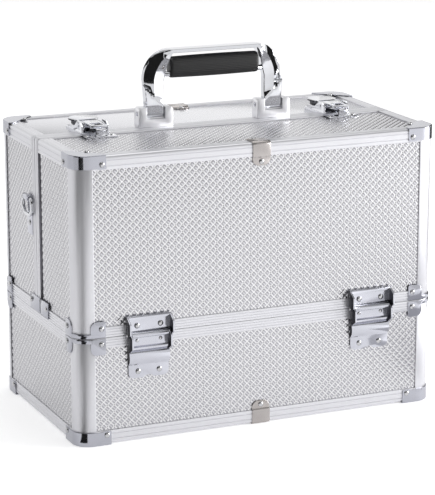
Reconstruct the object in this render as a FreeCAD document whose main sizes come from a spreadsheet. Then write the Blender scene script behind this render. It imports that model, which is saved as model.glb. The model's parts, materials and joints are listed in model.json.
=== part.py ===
import FreeCAD, Part
import math
import os

import Sketcher

# A hard-shell makeup train case.  The lower box carries two lids that meet at a
# split along the top and swing down to the front and to the rear on stop hinges.
# X runs along the case, the front faces -Y and Z is up.  The origin lies under
# the middle of the case, on the surface that it stands on.

doc = FreeCAD.newDocument("makeup_case")
sheet = doc.addObject("Spreadsheet::Sheet", "Sizes")

# Driving sizes, in millimetres and degrees.
DRIVING = (
    # case
    ("case_length", 350.0), ("case_depth", 200.0), ("case_height", 258.2),
    ("seam_height", 98.0), ("split_offset", 7.0), ("lid_gap", 0.2), ("split_gap", 1.0),
    # walls
    ("board", 5.0), ("profile_wall", 1.0), ("lining", 1.0), ("cap_sheet", 0.9),
    # extruded profiles
    ("corner_radius", 16.0), ("post_land", 1.0), ("groove_depth", 5.0),
    ("edge_band", 12.5), ("edge_round", 3.0), ("seam_band", 9.4), ("split_band", 17.0),
    ("channel_lip", 6.0),
    # pressed corner and edge fittings
    ("cap_reach", 29.0), ("cap_band", 10.5), ("foot_band", 13.0),
    # seam brackets, whose plates start and reach so far from where their bend ends
    ("bracket_start", -2.8), ("bracket_reach", 11.2), ("bracket_height", 14.5),
    ("bracket_round", 6.0),
    # edge clips and rivets
    ("clip_width", 17.4), ("clip_reach", 21.0),
    ("rivet_radius", 2.6), ("rivet_rise", 1.5), ("small_rivet", 1.7),
    # stop hinges
    ("hinge_place", 108.5), ("hinge_width", 42.0), ("hinge_sheet", 1.2),
    ("hinge_stand", 3.0), ("knuckle_radius", 2.6), ("hinge_pin", 1.3),
    ("hinge_up", 17.0), ("hinge_down", 40.0), ("flange_depth", 8.0), ("lobe_round", 5.0),
    # handle
    ("handle_place", 58.6), ("handle_back", 14.3), ("handle_leg", 17.0),
    ("handle_rise", 57.5), ("handle_deep", 9.0), ("spine_deep", 14.0), ("spine_wall", 3.5),
    ("grip_length", 87.0), ("grip_height", 22.0), ("grip_deep", 15.0),
    ("bracket_width", 33.0), ("bracket_deep", 12.5), ("bracket_rise", 18.2),
    ("handle_pivot_rise", 12.4), ("handle_pin", 2.0),
    # latches
    ("latch_place", 120.0), ("latch_width", 27.0), ("latch_pivot_back", 8.5),
    ("latch_pivot_rise", 6.6), ("latch_sheet", 1.2), ("lever_width", 18.0),
    ("lever_length", 33.0), ("paddle_radius", 13.5), ("claw_reach", 8.0),
    # shoulder strap rings
    ("ring_back", 24.0), ("ring_height", 201.5), ("ring_width", 28.0), ("ring_drop", 17.0),
    ("ring_wire", 1.6), ("ring_stand", 3.2),
    # cantilever trays
    ("tray_wall", 2.0), ("tray_lift", 14.0), ("tray_height", 44.0), ("tray_space", 6.0),
    ("upper_tray_height", 40.0), ("tray_side", 1.5), ("tray_end", 4.5),
    ("arm_sheet", 1.5), ("arm_half_width", 4.0), ("arm_play", 0.5),
    # clearances
    ("running_fit", 0.05), ("open_pivot", 0.3),
)


class Size:
    """A number together with the spreadsheet expression that yields it."""

    def __init__(self, value, text=None):
        self.value = float(value)
        self.text = text if text is not None else repr(float(value))

    def join(self, other, sign, value):
        return Size(value, "(%s %s %s)" % (self.text, sign, size(other).text))

    def __add__(self, other):
        return self.join(other, "+", self.value + size(other).value)

    def __sub__(self, other):
        return self.join(other, "-", self.value - size(other).value)

    def __mul__(self, other):
        return self.join(other, "*", self.value * size(other).value)

    def __truediv__(self, other):
        return self.join(other, "/", self.value / size(other).value)

    def __radd__(self, other):
        return size(other) + self

    def __rsub__(self, other):
        return size(other) - self

    def __rmul__(self, other):
        return size(other) * self

    def __neg__(self):
        return Size(-self.value, "(-1 * %s)" % self.text)


def size(number):
    return number if isinstance(number, Size) else Size(number)


def driving_sizes():
    table = {}
    for row, (alias, value) in enumerate(DRIVING, start=1):
        sheet.set("A%d" % row, alias.replace("_", " "))
        sheet.set("B%d" % row, str(value))
        sheet.setAlias("B%d" % row, alias)
        table[alias] = Size(value, "Sizes.%s" % alias)
    doc.recompute()
    return table


class Named:
    def __init__(self, table):
        self.__dict__.update(table)


s = Named(driving_sizes())

# Datum planes that many pieces share.
end_x = s.case_length / 2
face_y = s.case_depth / 2
foot_z = s.cap_sheet
top_z = s.cap_sheet + s.case_height
base_top = s.seam_height - s.lid_gap / 2
lid_bottom = s.seam_height + s.lid_gap / 2
front_split = -s.split_offset - s.split_gap / 2
rear_split = -s.split_offset + s.split_gap / 2
board_face = s.profile_wall
board_back = s.profile_wall + s.board
inner_lip = board_back + s.profile_wall
lining_face = inner_lip + s.lining
corner_leg = s.corner_radius + s.post_land
groove_floor = corner_leg - s.groove_depth
hinge_y = face_y + s.hinge_stand


# ---------------------------------------------------------------- tools

def bind(item, name, amount):
    amount = size(amount)
    item.setExpression(name, amount.text)


def place(item, x, y, z, rotation=None):
    base = FreeCAD.Vector(size(x).value, size(y).value, size(z).value)
    item.Placement = FreeCAD.Placement(base, rotation or FreeCAD.Rotation())
    for axis, amount in zip("xyz", (x, y, z)):
        bind(item, "Placement.Base.%s" % axis, amount)
    return item


def block(name, low, high):
    """A box between two corners."""
    item = doc.addObject("Part::Box", name)
    for side, a, b in zip(("Length", "Width", "Height"), low, high):
        bind(item, side, size(b) - a)
    return place(item, *low)


TURNS = {
    "+Z": FreeCAD.Rotation(),
    "-Z": FreeCAD.Rotation(FreeCAD.Vector(1, 0, 0), 180),
    "+X": FreeCAD.Rotation(FreeCAD.Vector(0, 1, 0), 90),
    "-X": FreeCAD.Rotation(FreeCAD.Vector(0, 1, 0), -90),
    "+Y": FreeCAD.Rotation(FreeCAD.Vector(1, 0, 0), -90),
    "-Y": FreeCAD.Rotation(FreeCAD.Vector(1, 0, 0), 90),
}


def rod(name, radius, length, at, way):
    """A cylinder that starts at a point and runs along an axis."""
    item = doc.addObject("Part::Cylinder", name)
    bind(item, "Radius", radius)
    bind(item, "Height", length)
    return place(item, *at, rotation=TURNS[way])


def rivet(name, at, way, radius=None, rise=None):
    """A faceted rivet head."""
    item = doc.addObject("Part::Prism", name)
    item.Polygon = 8
    bind(item, "Circumradius", radius or s.rivet_radius)
    bind(item, "Height", rise or s.rivet_rise)
    return place(item, *at, rotation=TURNS[way])


def combine(kind, name, base, tools):
    """A Part boolean of one base and a list of tools."""
    if kind == "cut":
        tool = tools[0] if len(tools) == 1 else combine("fuse", name + "_tools", tools[0], tools[1:])
        item = doc.addObject("Part::Cut", name)
        item.Base, item.Tool = base, tool
        return item
    if kind == "common":
        item = doc.addObject("Part::Common", name)
        item.Base, item.Tool = base, tools[0]
        return item
    item = doc.addObject("Part::MultiFuse", name)
    item.Shapes = [base] + tools
    return item


def mirrored(item, *axes):
    """The piece reflected through the case's middle planes, one axis after another."""
    for axis in axes:
        flip = doc.addObject("Part::Mirroring", "%s_%s" % (item.Name, axis))
        flip.Source = item
        flip.Normal = FreeCAD.Vector(axis == "x", axis == "y", axis == "z")
        item = flip
    return item


nodes = {}


def node(label, pieces):
    """Names a finished sub-part; several identical pieces share one node."""
    if len(pieces) > 1:
        group = doc.addObject("Part::Compound", label)
        group.Links = pieces
    else:
        group = pieces[0]
    group.Label = label
    nodes[label] = group


PLANES = {"XY": "XY_Plane", "XZ": "XZ_Plane", "YZ": "YZ_Plane"}


def sketch_on(body, plane, level, corners, holes=()):
    """A closed outline.  A corner is (a, b) or (a, b, radius, side): the edge that
    leaves it is then an arc of that radius, bulging left (1) or right (-1) of the way
    round.  Every corner is dimensioned from the origin."""
    drawing = body.newObject("Sketcher::SketchObject", "%s_outline" % body.Name)
    support = [f for f in body.Origin.OriginFeatures if f.Role == PLANES[plane]][0]
    drawing.AttachmentSupport = (support, [""])
    drawing.MapMode = "FlatFace"
    drawing.setExpression("AttachmentOffset.Base.z", size(level).text)
    points = [FreeCAD.Vector(size(c[0]).value, size(c[1]).value, 0) for c in corners]
    count = len(corners)
    for i, corner in enumerate(corners):
        a, b = points[i], points[(i + 1) % count]
        if len(corner) == 2:
            drawing.addGeometry(Part.LineSegment(a, b), False)
            continue
        drawing.addGeometry(arc_between(a, b, size(corner[2]).value, corner[3]), False)
    turning = [len(c) > 2 and c[3] == 1 for c in corners]
    for i, corner in enumerate(corners):
        after = (i + 1) % count
        start = 2 if turning[i] else 1
        drawing.addConstraint(Sketcher.Constraint(
            "Coincident", i, 1 if turning[i] else 2, after, 2 if turning[after] else 1))
        dimension(drawing, "DistanceX", (-1, 1, i, start), corner[0])
        dimension(drawing, "DistanceY", (-1, 1, i, start), corner[1])
        if len(corner) > 2:
            dimension(drawing, "Radius", (i,), corner[2])
    for a, b, radius in holes:
        centre = FreeCAD.Vector(size(a).value, size(b).value, 0)
        circle = Part.Circle(centre, FreeCAD.Vector(0, 0, 1), size(radius).value)
        index = drawing.addGeometry(circle, False)
        dimension(drawing, "DistanceX", (-1, 1, index, 3), a)
        dimension(drawing, "DistanceY", (-1, 1, index, 3), b)
        dimension(drawing, "Radius", (index,), radius)
    return drawing


def arc_between(a, b, radius, side):
    """The short arc from a to b; side 1 bulges to the left of the way from a to b."""
    chord = b - a
    middle = (a + b) * 0.5
    left = FreeCAD.Vector(-chord.y, chord.x, 0).normalize()
    drop = math.sqrt(max(radius * radius - chord.Length * chord.Length / 4, 0.0))
    centre = middle - left * (drop * side)
    first, last = (b, a) if side == 1 else (a, b)
    start = math.atan2(first.y - centre.y, first.x - centre.x)
    end = math.atan2(last.y - centre.y, last.x - centre.x)
    circle = Part.Circle(centre, FreeCAD.Vector(0, 0, 1), radius)
    return Part.ArcOfCircle(circle, start, end)


def dimension(drawing, kind, places, amount):
    amount = size(amount)
    index = drawing.addConstraint(Sketcher.Constraint(kind, *places, amount.value))
    drawing.setExpression("Constraints[%d]" % index, amount.text)


def new_body(name):
    return doc.addObject("PartDesign::Body", name)


def pad(body, plane, low, high, corners, holes=()):
    """Pads an outline between two levels measured along +X, +Y or +Z."""
    level = -size(high) if plane == "XZ" else low
    feature = body.newObject("PartDesign::Pad", "%s_pad" % body.Name)
    feature.Profile = sketch_on(body, plane, level, corners, holes)
    bind(feature, "Length", size(high) - low)
    return body


def pocket(body, plane, low, high, corners=(), holes=()):
    """Cuts an outline or round holes out of a body between two levels."""
    level = -size(low) if plane == "XZ" else high
    feature = body.newObject("PartDesign::Pocket", "%s_pocket" % body.Name)
    feature.Profile = sketch_on(body, plane, level, corners, holes)
    bind(feature, "Length", size(high) - low)
    return body


def rectangle(a0, b0, a1, b1):
    return ((a0, b0), (a1, b0), (a1, b1), (a0, b1))


def round_edges(body, radius, wanted):
    """Fillets the edges of a body's last feature that a test picks out."""
    doc.recompute()
    last = body.Tip
    names = ["Edge%d" % (i + 1) for i, e in enumerate(last.Shape.Edges) if wanted(e)]
    feature = body.newObject("PartDesign::Fillet", "%s_fillet" % body.Name)
    feature.Base = (last, names)
    bind(feature, "Radius", radius)
    return body


def near(a, b):
    return abs(a - size(b).value) < 1e-4


def root(amount):
    amount = size(amount)
    return Size(math.sqrt(amount.value), "sqrt(%s)" % amount.text)


def spread(item, *axes):
    """The piece with its reflections through each given middle plane."""
    pieces = [item]
    for axis in axes:
        pieces = pieces + [mirrored(p, axis) for p in pieces]
    return pieces


def corner_wall(reach, sheet_out, inner_radius, plane_x, plane_y):
    """Plan outline of sheet metal bent round the right-hand front corner."""
    outer = inner_radius + sheet_out
    flat = inner_radius
    return (
        (plane_x - reach, plane_y - sheet_out),
        (plane_x - flat, plane_y - sheet_out, outer, -1),
        (plane_x + sheet_out, plane_y + flat),
        (plane_x + sheet_out, plane_y + reach),
        (plane_x, plane_y + reach),
        (plane_x, plane_y + flat, inner_radius, 1),
        (plane_x - flat, plane_y),
        (plane_x - reach, plane_y),
    )


def edge_section(a0, da, b0, db, band, radius):
    """Section of an edge profile: two walls that meet at a rounded corner, with a
    channel for the board on each side.  (a0, b0) is the outer corner of the case."""
    wall, back, lip = s.profile_wall, board_back, inner_lip
    outline = (
        (band, 0), (radius, 0, radius, da * db), (0, radius), (0, band), (wall, band),
        (wall, lip), (back, lip), (back, band), (lip, band), (lip, lip), (band, lip),
        (band, back), (lip, back), (lip, wall), (band, wall),
    )
    return [(a0 + c[0] * da, b0 + c[1] * db) + tuple(c[2:]) for c in outline]


def channel_section(a0, da, b0, db, band):
    """Section of a seam profile: a channel over the edge of the board."""
    wall, back, lip, web = s.profile_wall, board_back, inner_lip, s.profile_wall * 1.2
    outline = (
        (0, 0), (lip, 0), (lip, band), (back, band), (back, web), (wall, web),
        (wall, band), (0, band),
    )
    return [(a0 + a * da, b0 + b * db) for a, b in outline]


# ---------------------------------------------------------------- corner posts

def corner_post(name, low, high):
    """Round-backed extrusion at an upright corner, with channels for two boards."""
    r, leg, groove = s.corner_radius, corner_leg, groove_floor
    wall, back, lip = s.profile_wall, board_back, inner_lip
    outline = (
        (leg, 0), (r, 0, r, -1), (0, r), (0, leg), (wall, leg), (wall, groove),
        (back, groove), (back, leg), (lip, leg), (lip, lip), (leg, lip), (leg, back),
        (groove, back), (groove, wall), (leg, wall),
    )
    body = pad(new_body(name), "XY", low, high, [at_corner(c) for c in outline])
    inner = r - wall * 1.2
    web = groove - wall
    reach = r - root(inner * inner - (r - web) * (r - web))
    hollow = ((web, reach), (web, back), (back, back), (back, web), (reach, web, inner, 1))
    return pocket(body, "XY", low, high, [at_corner(c) for c in hollow])


def at_corner(corner):
    u, v = corner[:2]
    return (end_x - u, v - face_y) + tuple(corner[2:])


# ---------------------------------------------------------------- pressed fittings

cap_radius = s.corner_radius - 0.7
plate_start = cap_radius + s.bracket_start
plate_reach = cap_radius + s.bracket_reach


def corner_cap(name, level, way, reach, band):
    """Pressed cap over a corner of the case.  It lies on the level where the profiles
    end and its skirt runs back along the post."""
    outer_face = level + s.cap_sheet * way
    skirt_end = outer_face - band * way
    low, high = (skirt_end, outer_face) if way > 0 else (outer_face, skirt_end)
    wall = corner_wall(reach, s.cap_sheet, cap_radius, end_x, -face_y)
    body = pad(new_body(name), "XY", low, high, wall)
    low, high = (level, outer_face) if way > 0 else (outer_face, level)
    sheet_out = s.cap_sheet
    tip = cap_radius * 0.3
    plate = (
        (end_x - reach, -face_y - sheet_out),
        (end_x - cap_radius, -face_y - sheet_out, cap_radius + sheet_out, -1),
        (end_x + sheet_out, cap_radius - face_y),
        (end_x + sheet_out, reach - face_y),
        (end_x - tip, reach - face_y),
        (end_x - reach, tip - face_y),
    )
    pad(body, "XY", low, high, plate)
    return body


def seam_bracket(name, way):
    """Bracket round a corner beside the seam: a strap with a riveted plate each side."""
    reach, tall = plate_reach, s.bracket_height
    edge = (lid_bottom if way > 0 else base_top) + size(0.5) * way
    far = edge + tall * way
    low, high = (edge, far) if way > 0 else (far, edge)
    wall = corner_wall(reach, s.cap_sheet, cap_radius, end_x, -face_y)
    body = pad(new_body(name), "XY", low, high, wall)
    strap = edge + size(3.4) * way
    low, high = (strap, far) if way > 0 else (far, strap)
    start = plate_start
    window = rectangle(end_x - start, -face_y - 3, end_x + 3, start - face_y)
    pocket(body, "XY", low, high, window)

    def plate_corner(place):
        def wanted(edge):
            box = edge.BoundBox
            at_far = near(box.ZMin, far) and box.ZLength < 1e-4
            front = near(box.XMin, end_x - place) and box.XLength < 1e-4
            side = near(box.YMin, place - face_y) and box.YLength < 1e-4
            across = max(box.XLength, box.YLength)
            return at_far and (front or side) and across < s.cap_sheet.value * 2
        return wanted

    round_edges(body, s.bracket_round, plate_corner(start))
    return round_edges(body, s.bracket_round / 4, plate_corner(reach))


def edge_clip(name, level, way, back_level):
    """Sheet clip over a long edge at the middle of the case.  Its legs step down from
    the profile to the boards and end in riveted tongues."""
    sheet_out, band, reach = s.cap_sheet, s.edge_band, s.clip_reach
    rim = level + sheet_out * way
    skin = board_face - face_y
    turn = size(3.2)
    inner = turn - sheet_out
    step = board_face + 0.4
    outline = (
        (skin, level - reach * way),
        (skin - sheet_out, level - reach * way),
        (skin - sheet_out, level - (band + step) * way),
        (-face_y - sheet_out, level - band * way),
        (-face_y - sheet_out, rim - turn * way, turn, way),
        (-face_y - sheet_out + turn, rim),
        (-face_y + band, rim),
        (-face_y + band + step, back_level + sheet_out * way),
        (-face_y + reach, back_level + sheet_out * way),
        (-face_y + reach, back_level),
        (-face_y + band, back_level),
        (-face_y + band, level),
        (-face_y + inner, level, inner, -way),
        (-face_y, level - inner * way),
        (-face_y, level - band * way),
        (skin, level - band * way),
    )
    half = s.clip_width / 2
    body = pad(new_body(name), "YZ", -half, half, outline)
    tongue_z = (level - reach * way).value
    tongue_y = (-face_y + reach).value

    def tongue_corner(edge):
        box = edge.BoundBox
        front = abs(box.ZMin - tongue_z) < 1e-4 and box.ZLength < 1e-4 and box.XLength < 1e-4
        top = abs(box.YMin - tongue_y) < 1e-4 and box.YLength < 1e-4 and box.XLength < 1e-4
        return front or top

    return round_edges(body, half * 0.75, tongue_corner)


# ---------------------------------------------------------------- lower box

posts = spread(corner_post("base_post", foot_z, base_top), "x", "y")
node("base_corner_posts", posts)

run_x = end_x - corner_leg
run_y = face_y - corner_leg
in_groove_x = end_x - groove_floor
in_groove_y = face_y - groove_floor
panel_foot = foot_z + inner_lip
panel_head = base_top - s.profile_wall * 1.2

long_edge = pad(new_body("base_long_edge"), "YZ", -run_x, run_x,
                edge_section(-face_y, 1, foot_z, 1, s.edge_band, s.edge_round))
short_edge = pad(new_body("base_short_edge"), "XZ", -run_y, run_y,
                 edge_section(end_x, -1, foot_z, 1, s.edge_band, s.edge_round))
node("base_bottom_profiles", spread(long_edge, "y") + spread(short_edge, "x"))

long_rim = pad(new_body("base_long_rim"), "YZ", -run_x, run_x,
               channel_section(-face_y, 1, base_top, -1, s.seam_band))
short_rim = pad(new_body("base_short_rim"), "XZ", -run_y, run_y,
                channel_section(end_x, -1, base_top, -1, s.seam_band))
node("base_rim_profiles", spread(long_rim, "y") + spread(short_rim, "x"))

front_board = block("base_front_board", (-in_groove_x, board_face - face_y, panel_foot),
                    (in_groove_x, board_back - face_y, panel_head))
rear_board = block("base_rear_board", (-in_groove_x, face_y - board_back, panel_foot),
                   (in_groove_x, face_y - board_face, panel_head))
end_board = block("base_end_board", (end_x - board_back, -in_groove_y, panel_foot),
                  (end_x - board_face, in_groove_y, panel_head))
floor_board = block("base_floor_board", (inner_lip - end_x, inner_lip - face_y, foot_z + board_face),
                    (end_x - inner_lip, face_y - inner_lip, foot_z + board_back))
node("base_front_panel", [front_board])
node("base_rear_panel", [rear_board])
node("base_end_panels", spread(end_board, "x"))
node("base_floor_panel", [floor_board])

lining_foot = foot_z + inner_lip
lining_out = block("base_lining_out", (inner_lip - end_x, inner_lip - face_y, lining_foot),
                   (end_x - inner_lip, face_y - inner_lip, base_top - 0.8))
lining_in = block("base_lining_in",
                  (lining_face - end_x, lining_face - face_y, lining_foot + s.lining),
                  (end_x - lining_face, face_y - lining_face, base_top + 1))
node("base_lining", [combine("cut", "base_lining_shell", lining_out, [lining_in])])

foot_cap = corner_cap("foot_cap", foot_z, -1, s.cap_reach + 1.5, s.foot_band)
node("base_bottom_caps", spread(foot_cap, "x", "y"))
low_bracket = seam_bracket("low_bracket", -1)
node("base_seam_brackets", spread(low_bracket, "x", "y"))
foot_clip = edge_clip("foot_clip", foot_z, -1, foot_z + board_face)
node("base_bottom_clips", spread(foot_clip, "y"))


# ---------------------------------------------------------------- stop hinges

hinge_x = s.hinge_place
hinge_z = s.seam_height
axis_y = -hinge_y
half_hinge = s.hinge_width / 2
plate_out = -face_y - s.hinge_sheet
flange_out = axis_y - (s.flange_depth - s.hinge_sheet)
barrel = s.knuckle_radius
leaf_foot = hinge_z - s.hinge_down

upper_plate = pad(new_body("upper_plate"), "YZ", hinge_x - half_hinge, hinge_x + half_hinge, (
    (-face_y, hinge_z + barrel),
    (-face_y, hinge_z + s.hinge_up - 1.4),
    (-face_y - 1.4, hinge_z + s.hinge_up, 1.4, -1),
    (-face_y - 2.8, hinge_z + s.hinge_up - 1.4),
    (-face_y - 2.8, hinge_z + s.hinge_up - 3.2),
    (plate_out, hinge_z + s.hinge_up - 3.2),
    (plate_out, hinge_z + barrel),
))


def flange(name, inner, outer, way):
    """Side flange of a hinge leaf with a round nose at the pin; way 1 points up."""
    tip = barrel + 0.25
    nose = (
        (-face_y, hinge_z + s.flange_depth * 2 * way),
        (-face_y, hinge_z + 1.6 * way),
        (axis_y + tip, hinge_z + 1.0 * way),
        (axis_y + tip, hinge_z, tip, -way),
        (axis_y, hinge_z - tip * way),
        (axis_y - barrel, hinge_z - barrel * way * 0.6),
        (flange_out, hinge_z + 1.4 * way),
        (flange_out, hinge_z + s.flange_depth * 1.4 * way),
        (axis_y, hinge_z + s.flange_depth * 2 * way),
    )
    return pad(new_body(name), "YZ", hinge_x + inner, hinge_x + outer, nose)


def pin_bore(name, radius):
    return rod(name, radius, s.hinge_width + 2, (hinge_x - half_hinge - 1, axis_y, hinge_z), "+X")


upper_right = flange("upper_flange_right", half_hinge - 1.5, half_hinge, 1)
upper_left = flange("upper_flange_left", -half_hinge, 1.5 - half_hinge, 1)
upper_solid = combine("fuse", "upper_solid", upper_plate, [upper_right, upper_left])
upper_leaf = combine("cut", "upper_leaf", upper_solid,
                     [pin_bore("upper_bore", s.hinge_pin + s.running_fit)])

neck = half_hinge - 2
lower_plate = pad(new_body("lower_plate"), "YZ", hinge_x - neck, hinge_x + neck, (
    (-face_y, hinge_z - 1),
    (plate_out, hinge_z - 1),
    (plate_out, hinge_z - s.seam_band - 1),
    (-face_y - 2.6, hinge_z - s.seam_band - 2.4),
    (-face_y - 2.6, hinge_z - s.seam_band - 4.2),
    (-face_y, hinge_z - s.seam_band - 4.6),
))
# The stop band bulges out below the neck and ends in two lobes.
neck_foot = hinge_z - s.seam_band - 1.0
band_top = neck_foot - 3.6
lobe_top = leaf_foot + 12
skin = board_face - face_y
stop_band = pad(new_body("stop_band"), "YZ", hinge_x - neck, hinge_x + neck, (
    (skin, neck_foot),
    (skin, leaf_foot),
    (skin - s.hinge_sheet, leaf_foot),
    (skin - s.hinge_sheet, lobe_top),
    (skin - 4.0, lobe_top + 3.6),
    (skin - 4.6, lobe_top + 6.8),
    (skin - 4.0, band_top - 2.6),
    (skin - s.hinge_sheet, band_top),
    (skin - s.hinge_sheet, neck_foot),
))


def lobe_corner(edge):
    box = edge.BoundBox
    outer = near(box.XMin, hinge_x - neck) or near(box.XMin, hinge_x + neck)
    return outer and box.XLength < 1e-4 and near(box.ZMin, leaf_foot) and box.ZLength < 1e-4


round_edges(stop_band, s.lobe_round, lobe_corner)
notch_half = neck * 0.3
notch = rod("lobe_notch", notch_half, s.hinge_sheet + 2,
            (hinge_x, skin - s.hinge_sheet - 1, leaf_foot - notch_half * 0.6), "+Y")
lobed_band = combine("cut", "lobed_band", stop_band, [notch])
bridge_half = neck - 1.5
knuckle = rod("knuckle", barrel, bridge_half * 2, (hinge_x - bridge_half, axis_y, hinge_z), "+X")
bridge = block("knuckle_bridge", (hinge_x - bridge_half, axis_y, hinge_z - barrel * 0.8),
               (hinge_x + bridge_half, -face_y - 0.3, hinge_z - 1))
lower_right = flange("lower_flange_right", bridge_half, neck, -1)
lower_left = flange("lower_flange_left", -neck, -bridge_half, -1)
lower_solid = combine("fuse", "lower_solid", lower_plate,
                      [lobed_band, knuckle, bridge, lower_right, lower_left])
lower_leaf = combine("cut", "lower_leaf", lower_solid, [pin_bore("lower_bore", s.hinge_pin)])
node("hinge_lower_leaves", spread(lower_leaf, "x", "y"))
pin_half = half_hinge + 0.8
pin = rod("hinge_pin_rod", s.hinge_pin, pin_half * 2, (hinge_x - pin_half, axis_y, hinge_z), "+X")
node("hinge_pins", spread(pin, "x", "y"))


# ---------------------------------------------------------------- lids

class Trays:
    """Places of one set of trays, of their studs and of their arms, in the frame of
    the front lid.  The trays stay level while the lid swings about its hinge."""

    def __init__(self, split):
        self.near_y = lining_face - face_y + 1.0
        self.far_y = split - 2.5
        self.foot = s.seam_height + s.tray_lift
        self.upper_foot = self.foot + s.tray_height + s.tray_space
        low = (self.near_y + 14.0, self.foot + 4.0)
        high = (low[0] + (self.far_y - self.near_y) / 2, self.upper_foot + 4.0)
        self.studs = (low, high)
        self.pivot = (axis_y + 20.0, hinge_z + 3.0)
        self.arm_studs = tuple((self.pivot[0] + y - axis_y, self.pivot[1] + z - hinge_z)
                               for y, z in self.studs)


stud_radius = size(2.5)
stud_sunk = size(2.5)


def lid(side, split, split_wide, plate_long, trays):
    """One of the two lids, drawn at the front.  split is where its rim ends and
    split_wide the width of the rim's outer flange."""
    web = split - s.profile_wall
    flange_end = split - split_wide
    run_low, run_high = -run_y, flange_end
    seam_web = s.profile_wall * 1.2
    upright = corner_post("%s_post" % side, lid_bottom, top_z)
    top_long = pad(new_body("%s_top_long" % side), "YZ", -run_x, run_x,
                   edge_section(-face_y, 1, top_z, -1, s.edge_band, s.edge_round))
    top_short = pad(new_body("%s_top_short" % side), "XZ", run_low, run_high,
                    edge_section(end_x, -1, top_z, -1, s.edge_band, s.edge_round))
    seam_long = pad(new_body("%s_seam_long" % side), "YZ", -run_x, run_x,
                    channel_section(-face_y, 1, lid_bottom, 1, s.seam_band))
    seam_short = pad(new_body("%s_seam_short" % side), "XZ", run_low, run_high,
                     channel_section(end_x, -1, lid_bottom, 1, s.seam_band))

    def arch(name, low, high, outer, inner):
        """A U-shaped frame round both ends and the top."""
        round_out = s.edge_round - outer
        half = end_x - outer
        crown = top_z - outer
        hole = end_x - inner
        return (name, low, high, (
            (half, lid_bottom), (half, crown - round_out, round_out, -1),
            (half - round_out, crown), (round_out - half, crown, round_out, -1),
            (-half, crown - round_out), (-half, lid_bottom), (-hole, lid_bottom),
            (-hole, top_z - inner), (hole, top_z - inner), (hole, lid_bottom),
        ))

    rim = new_body("%s_rim" % side)
    for name, low, high, outline in (
            arch("web", web, split, size(0), inner_lip),
            arch("flange", flange_end, web, size(0), s.profile_wall)):
        pad(rim, "XZ", low, high, outline)
    lip_deep = web - s.channel_lip
    for a0, b0, a1, b1 in (
            (end_x - inner_lip, lid_bottom + s.seam_band, end_x - board_back, top_z - s.edge_band),
            (board_back - end_x, lid_bottom + s.seam_band, inner_lip - end_x, top_z - s.edge_band),
            (s.edge_band - end_x, top_z - inner_lip, end_x - s.edge_band, top_z - board_back)):
        pad(rim, "XZ", lip_deep, web, rectangle(a0, b0, a1, b1))

    face = block("%s_face" % side, (-in_groove_x, board_face - face_y, lid_bottom + seam_web),
                 (in_groove_x, board_back - face_y, top_z - inner_lip))
    crown = block("%s_crown" % side, (inner_lip - end_x, inner_lip - face_y, top_z - board_back),
                  (end_x - inner_lip, web, top_z - board_face))
    cheek = block("%s_cheek" % side, (end_x - board_back, -in_groove_y, lid_bottom + seam_web),
                  (end_x - board_face, web, top_z - inner_lip))
    shell = block("%s_lining_out" % side, (inner_lip - end_x, inner_lip - face_y, lid_bottom + 0.6),
                  (end_x - inner_lip, web, top_z - inner_lip))
    room = block("%s_lining_in" % side, (lining_face - end_x, lining_face - face_y, lid_bottom - 1),
                 (end_x - lining_face, split + 1, top_z - lining_face))
    soft = combine("cut", "%s_soft" % side, shell, [room])
    # Blind holes in the end walls carry the tray studs.
    bores = []
    for i, (y, z) in enumerate(trays.studs):
        bores.append(rod("%s_stud_bore%d" % (side, i), stud_radius + s.running_fit, stud_sunk + 6,
                         (end_x - board_back + stud_sunk, y, z), "-X"))
    bores = bores + [mirrored(b, "x") for b in bores]
    cheeks = combine("cut", "%s_cheek_bored" % side, cheek, bores[:2])
    soft = combine("cut", "%s_soft_bored" % side, soft, bores)
    cap = corner_cap("%s_cap" % side, top_z, 1, s.cap_reach, s.cap_band + s.cap_sheet)
    bracket = seam_bracket("%s_bracket" % side, 1)
    strap_low = lid_bottom + 1
    strap = block("%s_strap" % side, (end_x, split - 0.5 - plate_long, strap_low),
                  (end_x + s.cap_sheet, split - 0.5, strap_low + s.bracket_height - 0.5))
    clip = edge_clip("%s_clip" % side, top_z, 1, top_z - board_face)
    return {
        "corner_posts": spread(upright, "x"),
        "edge_profiles": [top_long, seam_long] + spread(top_short, "x") + spread(seam_short, "x"),
        "split_rim": [rim],
        "face_panel": [face],
        "top_panel": [crown],
        "end_panels": spread(cheeks, "x"),
        "lining": [soft],
        "top_caps": spread(cap, "x"),
        "seam_brackets": spread(bracket, "x") + spread(strap, "x"),
        "top_clip": [clip],
        "hinge_upper_leaves": spread(upper_leaf, "x"),
    }


front_trays = Trays(front_split)
rear_trays = Trays(-rear_split)
front_pieces = lid("front_lid", front_split, size(1.7), size(20), front_trays)
rear_pieces = lid("rear_lid", -rear_split, s.split_band, size(26), rear_trays)
NAMES = {"face_panel": {"front_lid": "front_panel", "rear_lid": "rear_panel"}}
for side, pieces in (("front_lid", front_pieces), ("rear_lid", rear_pieces)):
    for part_name, items in pieces.items():
        if side == "rear_lid":
            items = [mirrored(item, "y") for item in items]
        label = NAMES.get(part_name, {}).get(side, part_name)
        node("%s_%s" % (side, label), items)


# ---------------------------------------------------------------- trays and arms

tray_end = end_x - lining_face - s.tray_end + 0.5
arm_in = tray_end + s.arm_play + 0.1
arm_out = arm_in + s.arm_sheet
plate_in = arm_out + 0.2
plate_far = end_x - lining_face - 0.2


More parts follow.
